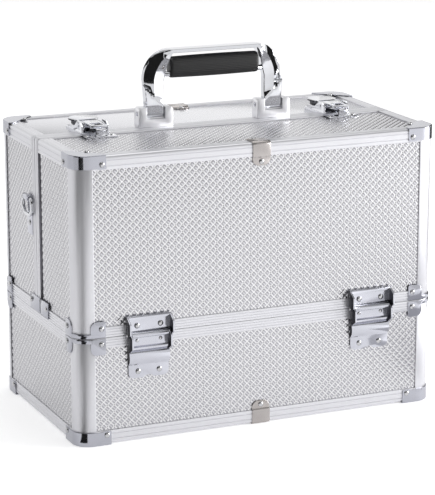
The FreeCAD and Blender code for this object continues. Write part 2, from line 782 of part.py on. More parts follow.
def tray(name, low_y, high_y, foot, height, across, studs):
    """An open tray with dividers; its studs carry it in the lid and on the arms."""
    wall = s.tray_wall
    shell = block(name + "_shell", (-tray_end, low_y, foot), (tray_end, high_y, foot + height))
    cell = (tray_end * 2 - wall * 2 - s.tray_side * (across - 1)) / across
    rooms = []
    for i in range(across):
        start = wall - tray_end + (cell + s.tray_side) * i
        rooms.append(block("%s_room%d" % (name, i), (start, low_y + wall, foot + wall),
                           (start + cell, high_y - wall, foot + height + 1)))
    hollow = combine("cut", name + "_hollow", shell, rooms)
    (lid_y, lid_z), (arm_y, arm_z) = studs
    reach = end_x - board_back + stud_sunk - tray_end - 0.5
    pegs = [rod(name + "_lid_stud", stud_radius, reach + 1, (tray_end - 1, lid_y, lid_z), "+X"),
            rod(name + "_arm_stud", stud_radius, arm_out - tray_end + 1.1,
                (tray_end - 1, arm_y, arm_z), "+X")]
    pegs = pegs + [mirrored(p, "x") for p in pegs]
    return combine("fuse", name, hollow, pegs)


def capsule(body, low, high, a, b, half):
    """A bar with round ends between two pivots."""
    run = (b[0] - a[0], b[1] - a[1])
    length = root(run[0] * run[0] + run[1] * run[1])
    along = (run[0] / length * half, run[1] / length * half)
    aside = (-along[1], along[0])
    outline = (
        (a[0] - aside[0], a[1] - aside[1]),
        (b[0] - aside[0], b[1] - aside[1], half, -1),
        (b[0] + along[0], b[1] + along[1], half, -1),
        (b[0] + aside[0], b[1] + aside[1]),
        (a[0] + aside[0], a[1] + aside[1], half, -1),
        (a[0] - along[0], a[1] - along[1], half, -1),
    )
    return pad(body, "YZ", low, high, outline)


def tray_arm(name, trays):
    body = new_body(name)
    low, high = trays.arm_studs
    capsule(body, arm_in, arm_out, trays.pivot, low, s.arm_half_width)
    capsule(body, arm_in, arm_out, low, high, s.arm_half_width)
    snug = stud_radius + s.running_fit
    loose = stud_radius + s.open_pivot
    holes = ((trays.pivot[0], trays.pivot[1], snug), (low[0], low[1], loose),
             (high[0], high[1], loose))
    return pocket(body, "YZ", arm_in, arm_out, (), holes)


def arm_bracket(name, pivot):
    """Plate on the end wall that carries the pivot of a tray arm above the seam."""
    y, z = pivot
    half = size(6)
    body = pad(new_body(name), "YZ", plate_in, plate_far, (
        (y - half, z - 43), (y + half, z - 43), (y + half, z, half, -1),
        (y, z + half, half, -1), (y - half, z)))
    foot = block(name + "_foot", (plate_in + 0.5, y - half, z - 43),
                 (end_x - lining_face, y + half, z - 17))
    stud = rod(name + "_stud", stud_radius, plate_in - arm_in + 0.7, (arm_in - 0.4, y, z), "+X")
    heads = [rivet("%s_rivet%d" % (name, i), (plate_in, y, z - drop), "-X", s.small_rivet, size(0.9))
             for i, drop in enumerate((23, 37))]
    return combine("fuse", name + "_plate", body, [foot, stud] + heads)


for side, trays in (("front", front_trays), ("rear", rear_trays)):
    levels = (("lower", trays.foot, s.tray_height, 3), ("upper", trays.upper_foot,
              s.upper_tray_height, 4))
    for i, (level, foot, height, across) in enumerate(levels):
        studs = (trays.studs[i], trays.arm_studs[i])
        item = tray("%s_%s_box" % (side, level), trays.near_y, trays.far_y, foot, height,
                    across, studs)
        node("%s_%s_tray" % (side, level), [mirrored(item, "y") if side == "rear" else item])
    arm = tray_arm("%s_arm" % side, trays)
    arm = mirrored(arm, "y") if side == "rear" else arm
    node("%s_tray_arms" % side, spread(arm, "x"))
wall_plate = arm_bracket("arm_bracket", front_trays.pivot)
node("tray_arm_brackets", spread(wall_plate, "x", "y"))


# ---------------------------------------------------------------- handle

handle_y = s.handle_back - s.split_offset
pivot_z = top_z + s.handle_pivot_rise
half_bracket = s.bracket_width / 2
slot_half = s.handle_leg / 2 + 0.3
slot_floor = top_z + s.handle_pivot_rise - s.handle_deep / 2 - 0.5
ear_top = top_z + s.bracket_rise
ear_round = size(3)
bx = s.handle_place
bracket = pad(new_body("handle_bracket"), "XZ",
              handle_y - s.bracket_deep / 2, handle_y + s.bracket_deep / 2, (
    (bx - half_bracket, top_z), (bx + half_bracket, top_z),
    (bx + half_bracket, ear_top - ear_round, ear_round, -1),
    (bx + half_bracket - ear_round, ear_top), (bx + slot_half, ear_top),
    (bx + slot_half, slot_floor), (bx - slot_half, slot_floor), (bx - slot_half, ear_top),
    (bx - half_bracket + ear_round, ear_top, ear_round, -1),
    (bx - half_bracket, ear_top - ear_round)))
pin_bore = rod("handle_pin_bore", s.handle_pin, s.bracket_width + 2,
               (bx - half_bracket - 1, handle_y, pivot_z), "+X")
bored_bracket = combine("cut", "handle_bracket_bored", bracket, [pin_bore])
node("handle_brackets", spread(bored_bracket, "x"))
handle_pin = rod("handle_pin_rod", s.handle_pin, s.bracket_width + 0.8,
                 (bx - half_bracket - 0.4, handle_y, pivot_z), "+X")
node("handle_pins", spread(handle_pin, "x"))

leg_in = bx - s.handle_leg / 2
leg_out = bx + s.handle_leg / 2
shoulder = leg_out + 1.9
crown_z = pivot_z + s.handle_rise
sweep = shoulder - s.grip_length / 2 + 1.5
grip_top = crown_z - s.spine_wall - 3.5
grip_foot = grip_top - s.grip_height + 2.0
flare = grip_foot - 2.0
tuck = s.grip_length / 2 + 1.0
frame_body = pad(new_body("handle_bow"), "XZ",
                 handle_y - s.handle_deep / 2, handle_y + s.handle_deep / 2, (
    (leg_in, pivot_z), (leg_out, pivot_z), (leg_out, ear_top + 1.5),
    (shoulder, crown_z - sweep, sweep, -1),
    (shoulder - sweep, crown_z), (sweep - shoulder, crown_z, sweep, -1),
    (-shoulder, crown_z - sweep), (-leg_out, ear_top + 1.5), (-leg_out, pivot_z),
    (-leg_in, pivot_z), (-leg_in, flare),
    (-tuck, grip_top), (-tuck, crown_z - s.spine_wall), (tuck, crown_z - s.spine_wall),
    (tuck, grip_top), (leg_in, flare)))
spine = block("handle_spine", (sweep - shoulder, handle_y - s.spine_deep / 2,
                               crown_z - s.spine_wall),
              (shoulder - sweep, handle_y + s.spine_deep / 2, crown_z))
eye = rod("handle_eye", s.handle_deep / 2, s.handle_leg, (leg_in, handle_y, pivot_z), "+X")
eyes = spread(eye, "x")
bow = combine("fuse", "handle_bow_whole", frame_body, [spine] + eyes)
loose_pin = rod("handle_eye_bore", s.handle_pin + s.running_fit, s.handle_leg + 2,
                (leg_in - 1, handle_y, pivot_z), "+X")
grip_pin_z = grip_foot + 4.0
grip_pin_radius = size(2.5)
grip_pin_half = leg_in + 2.5
grip_bore = rod("handle_grip_bore", grip_pin_radius, grip_pin_half * 2,
                (-grip_pin_half, handle_y, grip_pin_z), "+X")
frame = combine("cut", "handle_frame_bored", bow, spread(loose_pin, "x") + [grip_bore])
node("handle_frame", [frame])
grip_pin = rod("grip_pin_rod", grip_pin_radius, grip_pin_half * 2,
               (-grip_pin_half, handle_y, grip_pin_z), "+X")
node("grip_pin", [grip_pin])
half_deep = s.grip_deep / 2
ease = half_deep * 0.86
grip = pad(new_body("handle_grip_body"), "YZ", -s.grip_length / 2, s.grip_length / 2, (
    (handle_y + half_deep, grip_top - ease), (handle_y + half_deep, grip_foot + ease, ease, 1),
    (handle_y + half_deep - ease, grip_foot), (handle_y - half_deep + ease, grip_foot, ease, 1),
    (handle_y - half_deep, grip_foot + ease), (handle_y - half_deep, grip_top - ease, ease, 1),
    (handle_y - half_deep + ease, grip_top), (handle_y + half_deep - ease, grip_top, ease, 1)))
grip_hole = rod("grip_hole", grip_pin_radius, s.grip_length + 2,
                (-s.grip_length / 2 - 1, handle_y, grip_pin_z), "+X")
node("handle_grip", [combine("cut", "handle_grip_bored", grip, [grip_hole])])


# ---------------------------------------------------------------- latches

latch_x = s.latch_place
latch_y = rear_split + s.latch_pivot_back + 1.0
latch_z = top_z + s.latch_pivot_rise
bed_front = rear_split + 1.0
bed_back = bed_front + s.lever_length + 7.0
sheet_t = s.latch_sheet
panel_top = top_z - board_face
half_bed = s.latch_width / 2
ear_in = half_bed - 2.0
half_lever = s.lever_width / 2 + 1.0
lever_top = latch_z + 2.7
lever_foot = latch_z - 2.7
bed = block("latch_bed", (latch_x - half_bed, bed_front, top_z),
            (latch_x + half_bed, bed_back, top_z + sheet_t))
bed_pad = block("latch_bed_pad", (latch_x - half_bed, rear_split + s.split_band, panel_top),
                (latch_x + half_bed, bed_back, top_z))


def latch_ear(name, low, high):
    return pad(new_body(name), "YZ", low, high, (
        (bed_front, top_z), (bed_front, latch_z + 0.4), (latch_y - 4.5, lever_top + 0.8),
        (latch_y + 4, lever_top + 0.8), (latch_y + 10.5, lever_foot + 1.4),
        (latch_y + 28, lever_foot - 0.4), (latch_y + 28, top_z)))


stub_in = half_lever - sheet_t - 0.3
ears = [latch_ear("latch_ear_right", latch_x + ear_in, latch_x + half_bed - 0.5),
        latch_ear("latch_ear_left", latch_x - half_bed + 0.5, latch_x - ear_in)]
stubs = [rod("latch_stub_right", size(1.5), half_bed - stub_in,
             (latch_x + stub_in, latch_y, latch_z), "+X"),
         rod("latch_stub_left", size(1.5), half_bed - stub_in,
             (latch_x - half_bed, latch_y, latch_z), "+X")]
latch_base = combine("fuse", "latch_base", bed, [bed_pad] + ears + stubs)
node("latch_bases", spread(latch_base, "x"))

lever_front = latch_y - 3.5
lever_back = lever_front + s.lever_length + 6.0
bend = lever_back - half_lever


def tongue(half, back):
    """Plan of the lever: straight sides that close in a half circle."""
    return ((latch_x - half, lever_front - 1), (latch_x + half, lever_front - 1),
            (latch_x + half, bend, half, -1), (latch_x, bend + half, half, -1),
            (latch_x - half, bend))


lever = pad(new_body("latch_lever"), "XY", lever_foot, lever_top, (
    (latch_x - half_lever, lever_front), (latch_x + half_lever, lever_front),
    (latch_x + half_lever, bend, half_lever, -1), (latch_x, bend + half_lever, half_lever, -1),
    (latch_x - half_lever, bend)))
pocket(lever, "XY", lever_foot, lever_top - sheet_t, tongue(half_lever - sheet_t, bend))
claw_y = latch_y + 6.0
claw_z = latch_z - 1.3
claw_half = half_lever - sheet_t - 0.8
slot_back = claw_y + 8.0
pocket(lever, "XY", lever_top - sheet_t, lever_top,
       rectangle(latch_x - claw_half - 0.3, lever_front - 1, latch_x + claw_half + 0.3, slot_back))
pocket(lever, "YZ", latch_x - half_lever, latch_x + half_lever, (),
       ((latch_y, latch_z, size(1.5) + s.running_fit),))
claw_pin = rod("claw_pin", size(1.1), (half_lever - 0.4) * 2,
               (latch_x - half_lever + 0.4, claw_y, claw_z), "+X")
paddle_disc = rod("lever_paddle_disc", s.paddle_radius, sheet_t,
                  (latch_x, lever_back + 1.0 - s.paddle_radius, lever_top - sheet_t), "+Z")
paddle_front = block("lever_paddle_front", (latch_x - half_bed, latch_y, lever_foot),
                     (latch_x + half_bed, slot_back + 0.5, lever_top + 1))
paddle = combine("cut", "lever_paddle", paddle_disc, [paddle_front])
lever_whole = combine("fuse", "latch_lever_whole", lever, [claw_pin, paddle])

claw_tip = front_split - s.claw_reach
claw_sheet = block("claw_sheet", (latch_x - claw_half, claw_tip, lever_top - sheet_t - 1.0),
                   (latch_x + claw_half, claw_y + 2.6, lever_top))
relief = block("claw_relief", (latch_x - claw_half - 1, claw_tip + 3, lever_top - sheet_t - 2),
               (latch_x + claw_half + 1, claw_y - 3, lever_top - sheet_t))
loop_gap = block("claw_gap", (latch_x - claw_half * 0.6, claw_tip + 2.4, lever_top - 4),
                 (latch_x + claw_half * 0.6, lever_front - 1.5, lever_top + 1))
claw_bar = rod("claw_bar", size(1.5), claw_half * 2,
               (latch_x - claw_half, claw_tip + 1.5, lever_top - 1.5), "+X")
barrel_rod = rod("claw_barrel", size(2.3), claw_half * 2,
                 (latch_x - claw_half, claw_y, claw_z), "+X")
claw_web = block("claw_web", (latch_x - claw_half, claw_y - 2.2, claw_z),
                 (latch_x + claw_half, claw_y + 2.2, lever_top - 0.2))
claw_cut = combine("cut", "claw_cut", claw_sheet, [relief, loop_gap])
claw_solid = combine("fuse", "claw_solid", claw_cut, [barrel_rod, claw_web, claw_bar])
claw_bore = rod("claw_bore", size(1.1) + s.running_fit, claw_half * 2 + 2,
                (latch_x - claw_half - 1, claw_y, claw_z), "+X")
claw = combine("cut", "latch_claw_whole", claw_solid, [claw_bore])
node("right_latch_lever", [lever_whole])
node("left_latch_lever", [mirrored(lever_whole, "x")])
node("right_latch_claw", [claw])
node("left_latch_claw", [mirrored(claw, "x")])

keeper_back = front_split - 1.9
keeper_front = keeper_back - 13.0
keeper_plate = block("keeper_plate", (latch_x - 15, keeper_front, panel_top),
                     (latch_x + 15, keeper_back, panel_top + sheet_t))
hook_y = claw_tip - 2.5
hook_half = claw_half * 0.55
hook_top = lever_top - 3.6
hook = block("keeper_hook", (latch_x - hook_half, hook_y - sheet_t, panel_top + 0.5),
             (latch_x + hook_half, hook_y, hook_top))
hook_lip = rod("keeper_lip", size(1.3), hook_half * 2,
               (latch_x - hook_half, hook_y - 1.3, hook_top), "+X")
keeper = combine("fuse", "latch_keeper", keeper_plate, [hook, hook_lip])
node("latch_keepers", spread(keeper, "x"))


# ---------------------------------------------------------------- shoulder strap rings

ring_y = s.ring_back - 6.0
wall_x = end_x - board_face
bar_x = wall_x + s.ring_stand
bar_z = s.ring_height
wire = s.ring_wire
eyelet = wire + s.running_fit
half_ring = s.ring_width / 2
strap_half = half_ring / 2
loop = rod("ring_loop", wire + 1.35, strap_half * 2, (bar_x, ring_y - strap_half, bar_z), "+Y")
tab = block("ring_tab", (wall_x, ring_y - strap_half, bar_z - 34),
            (wall_x + 1.2, ring_y + strap_half, bar_z))
stem = block("ring_stem", (wall_x + 0.2, ring_y - strap_half, bar_z - 3.6),
             (bar_x, ring_y + strap_half, bar_z))
bore = rod("ring_bore", eyelet, strap_half * 2 + 2, (bar_x, ring_y - strap_half - 1, bar_z), "+Y")
holder = combine("fuse", "ring_holder_solid", loop, [tab, stem])
holder = combine("cut", "ring_holder", holder, [bore])
node("d_ring_plates", spread(holder, "x"))

low_z = bar_z - s.ring_drop
bow_in = half_ring - wire * 2
bow = pad(new_body("ring_bow"), "YZ", bar_x - wire, bar_x + wire, (
    (ring_y - half_ring, bar_z), (ring_y - half_ring * 0.86, low_z + 5),
    (ring_y - half_ring * 0.5, low_z), (ring_y + half_ring * 0.5, low_z),
    (ring_y + half_ring * 0.86, low_z + 5), (ring_y + half_ring, bar_z),
    (ring_y + bow_in, bar_z), (ring_y + bow_in * 0.86, low_z + 5 + wire * 0.6),
    (ring_y + bow_in * 0.46, low_z + wire * 2), (ring_y - bow_in * 0.46, low_z + wire * 2),
    (ring_y - bow_in * 0.86, low_z + 5 + wire * 0.6), (ring_y - bow_in, bar_z)))
bar = rod("ring_bar", wire, s.ring_width, (bar_x, ring_y - half_ring, bar_z), "+Y")
ring = combine("fuse", "d_ring", bow, [bar])
node("right_d_ring", [ring])
node("left_d_ring", [mirrored(ring, "x")])


# ---------------------------------------------------------------- rivets

def rivets(label, places, *axes):
    heads = []
    for i, place_and_way in enumerate(places):
        at, way = place_and_way[:2]
        heads += spread(rivet("%s_head%d" % (label, i), at, way, *place_and_way[2:]), *axes)
    return heads


skin_y = -face_y - s.cap_sheet
skin_x = end_x + s.cap_sheet
cap_u = s.cap_reach - 4.0
foot_u = s.cap_reach - 2.5
plate_u = (plate_start + plate_reach) / 2 + 3.0
low_bracket_z = base_top - 5.2
high_bracket_z = lid_bottom + 8.4
small = (s.small_rivet, size(1.0))

base_heads = rivets("base", (
    ((end_x - foot_u, skin_y, foot_z + 8.7), "-Y"),
    ((skin_x, foot_u - face_y, foot_z + 8.7), "+X"),
    ((end_x - plate_u, skin_y, low_bracket_z), "-Y"),
    ((skin_x, plate_u - face_y, low_bracket_z), "+X"),
    ((hinge_x - 11, plate_out, hinge_z - 5.5), "-Y") + small,
    ((hinge_x + 11, plate_out, hinge_z - 5.5), "-Y") + small,
    ((hinge_x - 10, skin - s.hinge_sheet, leaf_foot + 6), "-Y"),
    ((hinge_x + 10, skin - s.hinge_sheet, leaf_foot + 6), "-Y"),
), "x", "y")
base_heads += rivets("base_clip", (
    ((size(0), skin - s.cap_sheet, foot_z + s.clip_reach - 3.6), "-Y"),), "y")
node("base_rivets", base_heads)

for side, back in (("front_lid", False), ("rear_lid", True)):
    heads = rivets(side, (
        ((end_x - cap_u, skin_y, top_z - 7.4), "-Y"),
        ((skin_x, cap_u - face_y, top_z - 7.4), "+X"),
        ((end_x - 18.5, 18.5 - face_y, top_z + s.cap_sheet), "+Z"),
        ((end_x - plate_u, skin_y, high_bracket_z), "-Y"),
        ((skin_x, plate_u - face_y, high_bracket_z), "+X"),
        ((hinge_x - 11, plate_out, hinge_z + 8), "-Y"),
        ((hinge_x + 11, plate_out, hinge_z + 8), "-Y"),
        ((skin_x, (front_split if not back else -rear_split) - (16 if not back else 23),
          high_bracket_z + 0.6), "+X"),
    ), "x")
    heads += rivets(side + "_clip", (
        ((size(0), skin - s.cap_sheet, top_z - s.clip_reach + 3.6), "-Y"),
        ((size(0), s.clip_reach - face_y - 3.6, panel_top + s.cap_sheet), "+Z")))
    if back:
        heads = [mirrored(head, "y") for head in heads]
        extra = rivets("ring", (((wall_x + 1.2, ring_y, bar_z - 23.5), "+X"),), "x")
    else:
        extra = rivets("keeper", (
            ((latch_x - 12, keeper_back - 6.0, panel_top + sheet_t), "+Z") + small,
            ((latch_x + 12, keeper_back - 6.0, panel_top + sheet_t), "+Z") + small), "x")
    node("%s_rivets" % side, heads + extra)


# ---------------------------------------------------------------- writing the nodes

doc.recompute()
faulty = [o.Name for o in doc.Objects if "Invalid" in o.State or "Error" in o.State]
if faulty:
    raise RuntimeError("objects that did not compute: %s" % ", ".join(faulty))
for label, item in nodes.items():
    shape = item.Shape
    if shape.isNull() or not shape.isValid():
        raise RuntimeError("%s has no valid shape" % label)
    if min(solid.Volume for solid in shape.Solids) <= 0:
        raise RuntimeError("%s holds an empty solid" % label)
os.makedirs("parts", exist_ok=True)
for label, item in nodes.items():
    item.Shape.exportStep("parts/%s.step" % label)
print("%d nodes written" % len(nodes))
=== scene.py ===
import json
import math
import bmesh
import bpy
from mathutils import Matrix, Vector


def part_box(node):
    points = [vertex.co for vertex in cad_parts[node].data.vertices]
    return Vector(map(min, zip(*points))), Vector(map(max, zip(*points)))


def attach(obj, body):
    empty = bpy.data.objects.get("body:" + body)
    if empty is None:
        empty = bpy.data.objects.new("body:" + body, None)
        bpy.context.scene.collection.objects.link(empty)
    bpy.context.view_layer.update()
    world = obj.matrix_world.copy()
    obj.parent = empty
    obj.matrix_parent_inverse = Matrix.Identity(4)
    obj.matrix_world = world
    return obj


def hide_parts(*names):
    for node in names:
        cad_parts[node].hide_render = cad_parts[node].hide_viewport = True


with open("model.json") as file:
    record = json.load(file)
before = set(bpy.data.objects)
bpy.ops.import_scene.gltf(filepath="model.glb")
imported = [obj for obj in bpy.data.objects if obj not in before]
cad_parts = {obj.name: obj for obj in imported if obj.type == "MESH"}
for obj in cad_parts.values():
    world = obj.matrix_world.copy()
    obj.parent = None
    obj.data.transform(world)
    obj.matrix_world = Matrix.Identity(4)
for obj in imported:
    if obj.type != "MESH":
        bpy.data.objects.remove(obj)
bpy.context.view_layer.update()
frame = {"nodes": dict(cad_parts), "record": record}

scene = bpy.context.scene
nodes = frame["nodes"]
record = frame["record"]
bodyOf = {node: body for body, members in record["behaviour"]["bodies"].items()
          for node in members}
mm = 0.001  # the frame is in metres, the case is thought of in millimetres


def report(stage):
    print("makeup case:", stage)


def hexColor(text):
    # sRGB hex to the linear values that the shaders read
    parts = [int(text[i:i + 2], 16) / 255 for i in (1, 3, 5)]
    linear = [c / 12.92 if c <= 0.04045 else ((c + 0.055) / 1.055) ** 2.4 for c in parts]
    return (*linear, 1.0)


def addNode(tree, kind, settings=None, links=None):
    node = tree.nodes.new(kind)
    for key, value in (settings or {}).items():
        if isinstance(key, int) or key in node.inputs:
            node.inputs[key].default_value = value
        else:
            setattr(node, key, value)
    for key, source in (links or {}).items():
        tree.links.new(source, node.inputs[key])
    return node


# widths of the surface patterns in millimetres; lines, film and pile are finer on the real
# pieces and drawn this coarse so that they show
patterns = {"line": 0.9, "lineRun": 160, "haze": 9, "wipe": 14, "film": 0.8, "pile": 0.7}


def startMaterial(name, hexText, metallic, roughness, ior=None):
    material = bpy.data.materials.new(name)
    material.use_nodes = True
    tree = material.node_tree
    shader = tree.nodes["Principled BSDF"]
    shader.inputs["Base Color"].default_value = hexColor(hexText)
    shader.inputs["Metallic"].default_value = metallic
    shader.inputs["Roughness"].default_value = roughness
    if ior:
        shader.inputs["IOR"].default_value = ior
    place = addNode(tree, "ShaderNodeTexCoord").outputs["Object"]
    return material, tree, shader, place


def noise(tree, place, sizeMm, detail):
    texture = addNode(tree, "ShaderNodeTexNoise", {"Scale": 1 / (sizeMm * mm), "Detail": detail},
                      {"Vector": place})
    return texture.outputs["Fac"]


def varyRoughness(tree, shader, source, low, high):
    spread = addNode(tree, "ShaderNodeMapRange", {"To Min": low, "To Max": high}, {"Value": source})
    tree.links.new(spread.outputs["Result"], shader.inputs["Roughness"])


def addBump(tree, shader, source, depthMm, strength):
    bump = addNode(tree, "ShaderNodeBump", {"Strength": strength, "Distance": depthMm * mm},
                   {"Height": source})
    tree.links.new(bump.outputs["Normal"], shader.inputs["Normal"])


def anodisedAluminium(name, along, low=0.24, high=0.4):
    # extruded and satin anodised: a soft metal sheen with fine die lines along the run
    material, tree, shader, place = startMaterial(name, "#E0E0E4", 0.9, 0.3)
    dieLines = [1 / (patterns["line"] * mm)] * 3
    dieLines["XYZ".index(along)] = 1 / (patterns["lineRun"] * mm)
    stretched = addNode(tree, "ShaderNodeMapping", {"Scale": dieLines}, {"Vector": place})
    lines = addNode(tree, "ShaderNodeTexNoise", {"Scale": 1.0, "Detail": 3.0},
                    {"Vector": stretched.outputs["Vector"]})
    varyRoughness(tree, shader, lines.outputs["Fac"], low, high)
    addBump(tree, shader, lines.outputs["Fac"], 0.02, 0.4)
    return material


def nickelPlatedSteel(name, hexText, roughness):
    # pressed sheet, nickel plated: bright, with a faint handling haze
    material, tree, shader, place = startMaterial(name, hexText, 1.0, roughness)
    haze = noise(tree, place, patterns["haze"], 4)
    varyRoughness(tree, shader, haze, roughness * 0.7, roughness * 1.35)
    return material


def chromePlate():
    # polished and chrome plated: a near mirror with a cool tint and faint wipe marks
    material, tree, shader, place = startMaterial("chromePlate", "#DDDEE2", 1.0, 0.06)
    varyRoughness(tree, shader, noise(tree, place, patterns["wipe"], 3), 0.03, 0.1)
    return material


def latticeLightLines(tree, shader, hollow):
    # paints light and shade into the film's colour: painted shade in the hollows of the lattice and
    # painted highlights along its lines
    lattice = addNode(tree, "ShaderNodeAttribute", {"attribute_name": "lattice"})
    colours = {"data_type": "RGBA", 6: hexColor(hollow), 7: hexColor("#FFFFFF")}
    latticeLight = addNode(tree, "ShaderNodeMix", colours, {0: lattice.outputs["Fac"]})
    tree.links.new(latticeLight.outputs[2], shader.inputs["Base Color"])


def metallisedSheet(name, hollow=None):
    # embossed plastic skin under a silver metal film: bright, with a faint grain; with a hollow
    # colour it also gets painted shade and painted highlights from the lattice
    material, tree, shader, place = startMaterial(name, "#E8E8EC", 0.9, 0.2)
    if hollow:
        latticeLightLines(tree, shader, hollow)
    grain = noise(tree, place, patterns["film"], 2)
    varyRoughness(tree, shader, grain, 0.15, 0.24)
    addBump(tree, shader, grain, 0.02, 0.25)
    return material


def mouldedPlastic(name, hexText, roughness, grainMm):
    # moulded ABS: a dark satin skin with a fine spark-eroded grain
    material, tree, shader, place = startMaterial(name, hexText, 0.0, roughness, 1.53)
    grain = noise(tree, place, grainMm, 3)
    varyRoughness(tree, shader, grain, roughness * 0.85, roughness * 1.15)
    addBump(tree, shader, grain, 0.05, 0.5)
    return material


def flockedLining():
    # short black flock on board: dark, with a pale edge where the light grazes it
    material, tree, shader, place = startMaterial("flockedLining", "#141415", 0.0, 0.95, 1.45)
    shader.inputs["Sheen Weight"].default_value = 0.35
    shader.inputs["Sheen Roughness"].default_value = 0.5
    addBump(tree, shader, noise(tree, place, patterns["pile"], 4), 0.3, 0.6)
    return material


finishes = {
    "railX": anodisedAluminium("anodisedAluminiumX", "X"),
    "railY": anodisedAluminium("anodisedAluminiumY", "Y"),
    "post": anodisedAluminium("anodisedAluminiumZ", "Z", 0.38, 0.52),
    # sheet and topSheet: the hollow colour is painted shade in the lattice's hollows, and white
    # painted highlights run along its lines
    "sheet": metallisedSheet("metallisedSheet", "#8E8D96"),
    "topSheet": metallisedSheet("topSheet", "#B9B8C0"),   # lighter, as light grazes it
    "plainSheet": metallisedSheet("plainSheet"),
    "cap": nickelPlatedSteel("capNickel", "#B6B7BF", 0.13),
    "fitting": nickelPlatedSteel("nickelPlatedSteel", "#C9CAD2", 0.15),
    "clip": nickelPlatedSteel("champagneNickel", "#B6B1AF", 0.24),
    "latch": nickelPlatedSteel("latchNickel", "#E4E5EA", 0.09),
    "flange": nickelPlatedSteel("flankPaintedShade", "#3C3C42", 0.3),   # painted shade: the dark of the folds on hinge and latch flanks
    "rivet": nickelPlatedSteel("rivetNickel", "#C4C4C6", 0.07),
    "chrome": chromePlate(),
    "satin": nickelPlatedSteel("satinNickel", "#F2F2F5", 0.34),
    "grip": mouldedPlastic("gripPlastic", "#121213", 0.42, 0.6),
    "tray": mouldedPlastic("trayPlastic", "#1B1B1C", 0.5, 0.8),
    "board": mouldedPlastic("grainedBoard", "#19191A", 0.6, 1.2),
    "lining": flockedLining(),
    # painted shadow: the seal's black stands for the shadow in the gap beside the split
    "seal": mouldedPlastic("sealPaintedShadow", "#0C0C0D", 0.7, 0.5),
}
report("materials ready")


def finishPiece(piece, node, materials=()):
    for material in materials:
        piece.data.materials.append(finishes[material])
    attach(piece, bodyOf[node])
    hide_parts(node)


def newPiece(name, mesh):
    piece = bpy.data.objects.new(name, mesh)
    scene.collection.objects.link(piece)
    return piece


def meshFrom(name, form, sharp=35):
    # a plain mesh, smooth but for edges that turn by more than the sharp angle
    bmesh.ops.recalc_face_normals(form, faces=form.faces)
    for face in form.faces:
        face.smooth = True
    mesh = bpy.data.meshes.new(name)
    form.to_mesh(mesh)
    form.free()
    mesh.set_sharp_from_angle(angle=math.radians(sharp))
    return mesh


easing = {
    "merge": 0.002,   # millimetres between two points that are one
    "flat": 1,        # degrees up to which neighbouring faces are one
    "corner": 32,     # degrees from which an edge is rounded
    "segments": 2,
    "flank": 0.8,     # how far a face points sideways to be a flank
}


def mergedForm(node):
    form = bmesh.new()
    form.from_mesh(nodes[node].data)
    bmesh.ops.remove_doubles(form, verts=form.verts, dist=easing["merge"] * mm)
    return form


def easedCopy(node, widthMm, material, flanks=None):
    # the CAD solid, merged, with the small edge radius that pressing or moulding leaves
    form = mergedForm(node)
    bmesh.ops.dissolve_limit(form, angle_limit=math.radians(easing["flat"]), verts=form.verts,
                             edges=form.edges)
    for face in form.faces:
        face.smooth = True
        # faces that point along X take the second finish, painted shade for the dark folds
        if flanks and abs(face.normal.x) > easing["flank"]:
            face.material_index = 1
    mesh = bpy.data.meshes.new(node + "Eased")
    form.to_mesh(mesh)
    form.free()
    piece = newPiece(node + "Eased", mesh)
    bevel = piece.modifiers.new("easedEdges", "BEVEL")
    bevel.width = widthMm * mm
    bevel.segments = easing["segments"]
    bevel.limit_method = "ANGLE"
    bevel.angle_limit = math.radians(easing["corner"])
    bevel.harden_normals = True
    finishPiece(piece, node, [material, flanks] if flanks else [material])


def boxMm(node):
    low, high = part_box(node)
    return low / mm, high / mm


footLow, footHigh = boxMm("base_bottom_profiles")
lidLow, lidHigh = boxMm("front_lid_edge_profiles")
boardLow, boardHigh = boxMm("base_front_panel")
# outer faces and levels of the case, then depths behind its outer face, all from its pieces
case = {
    "endX": footHigh.x, "faceY": footHigh.y, "footZ": footLow.z,
    "baseTop": boxMm("base_rim_profiles")[1].z, "lidBottom": lidLow.z, "topZ": lidHigh.z,
    "frontSplit": boxMm("front_lid_split_rim")[1].y,
    "rearSplit": boxMm("rear_lid_split_rim")[0].y,
    "wall": boardLow.y + footHigh.y, "back": boardHigh.y + footHigh.y,
    "lip": boxMm("base_lining")[0].y + footHigh.y,
}


emboss = {
    "line": 4.63,     # spacing of the diamond lattice
    "relief": 0.42,   # height of a pillow above its groove
    "groove": 0.42,   # share of a pillow's half width that its sloping side takes
    "lineShare": 0.46,   # share of it that gets a painted highlight beside a line
    "crossShade": 0.8,   # how bright the painted highlight of the second set of lines is beside the first
    "spineShade": 0.7,   # and the painted highlight on the crown between two lines of the first set
    "perCell": 9,     # mesh steps in one diagonal of a diamond
    "sealGap": 2.6,   # what shows of the black seal, painted shadow of the gap, behind the front lid's end sheets
}


def startTree(name, **inputs):
    # a Geometry Nodes tree with its named inputs, listed by their kind
    tree = bpy.data.node_groups.new(name, "GeometryNodeTree")
    tree.interface.new_socket("Geometry", in_out="OUTPUT", socket_type="NodeSocketGeometry")
    for kind, labels in inputs.items():
        for label in labels:
            tree.interface.new_socket(label, in_out="INPUT", socket_type="NodeSocket" + kind)
    return tree, addNode(tree, "NodeGroupInput").outputs


def endTree(tree, geometry, finish):
    solid = addNode(tree, "GeometryNodeRealizeInstances", None, {"Geometry": geometry})
    painted = addNode(tree, "GeometryNodeSetMaterial", None,
                      {"Geometry": solid.outputs[0], "Material": finish})
    addNode(tree, "NodeGroupOutput", None, {"Geometry": painted.outputs[0]})
    return tree


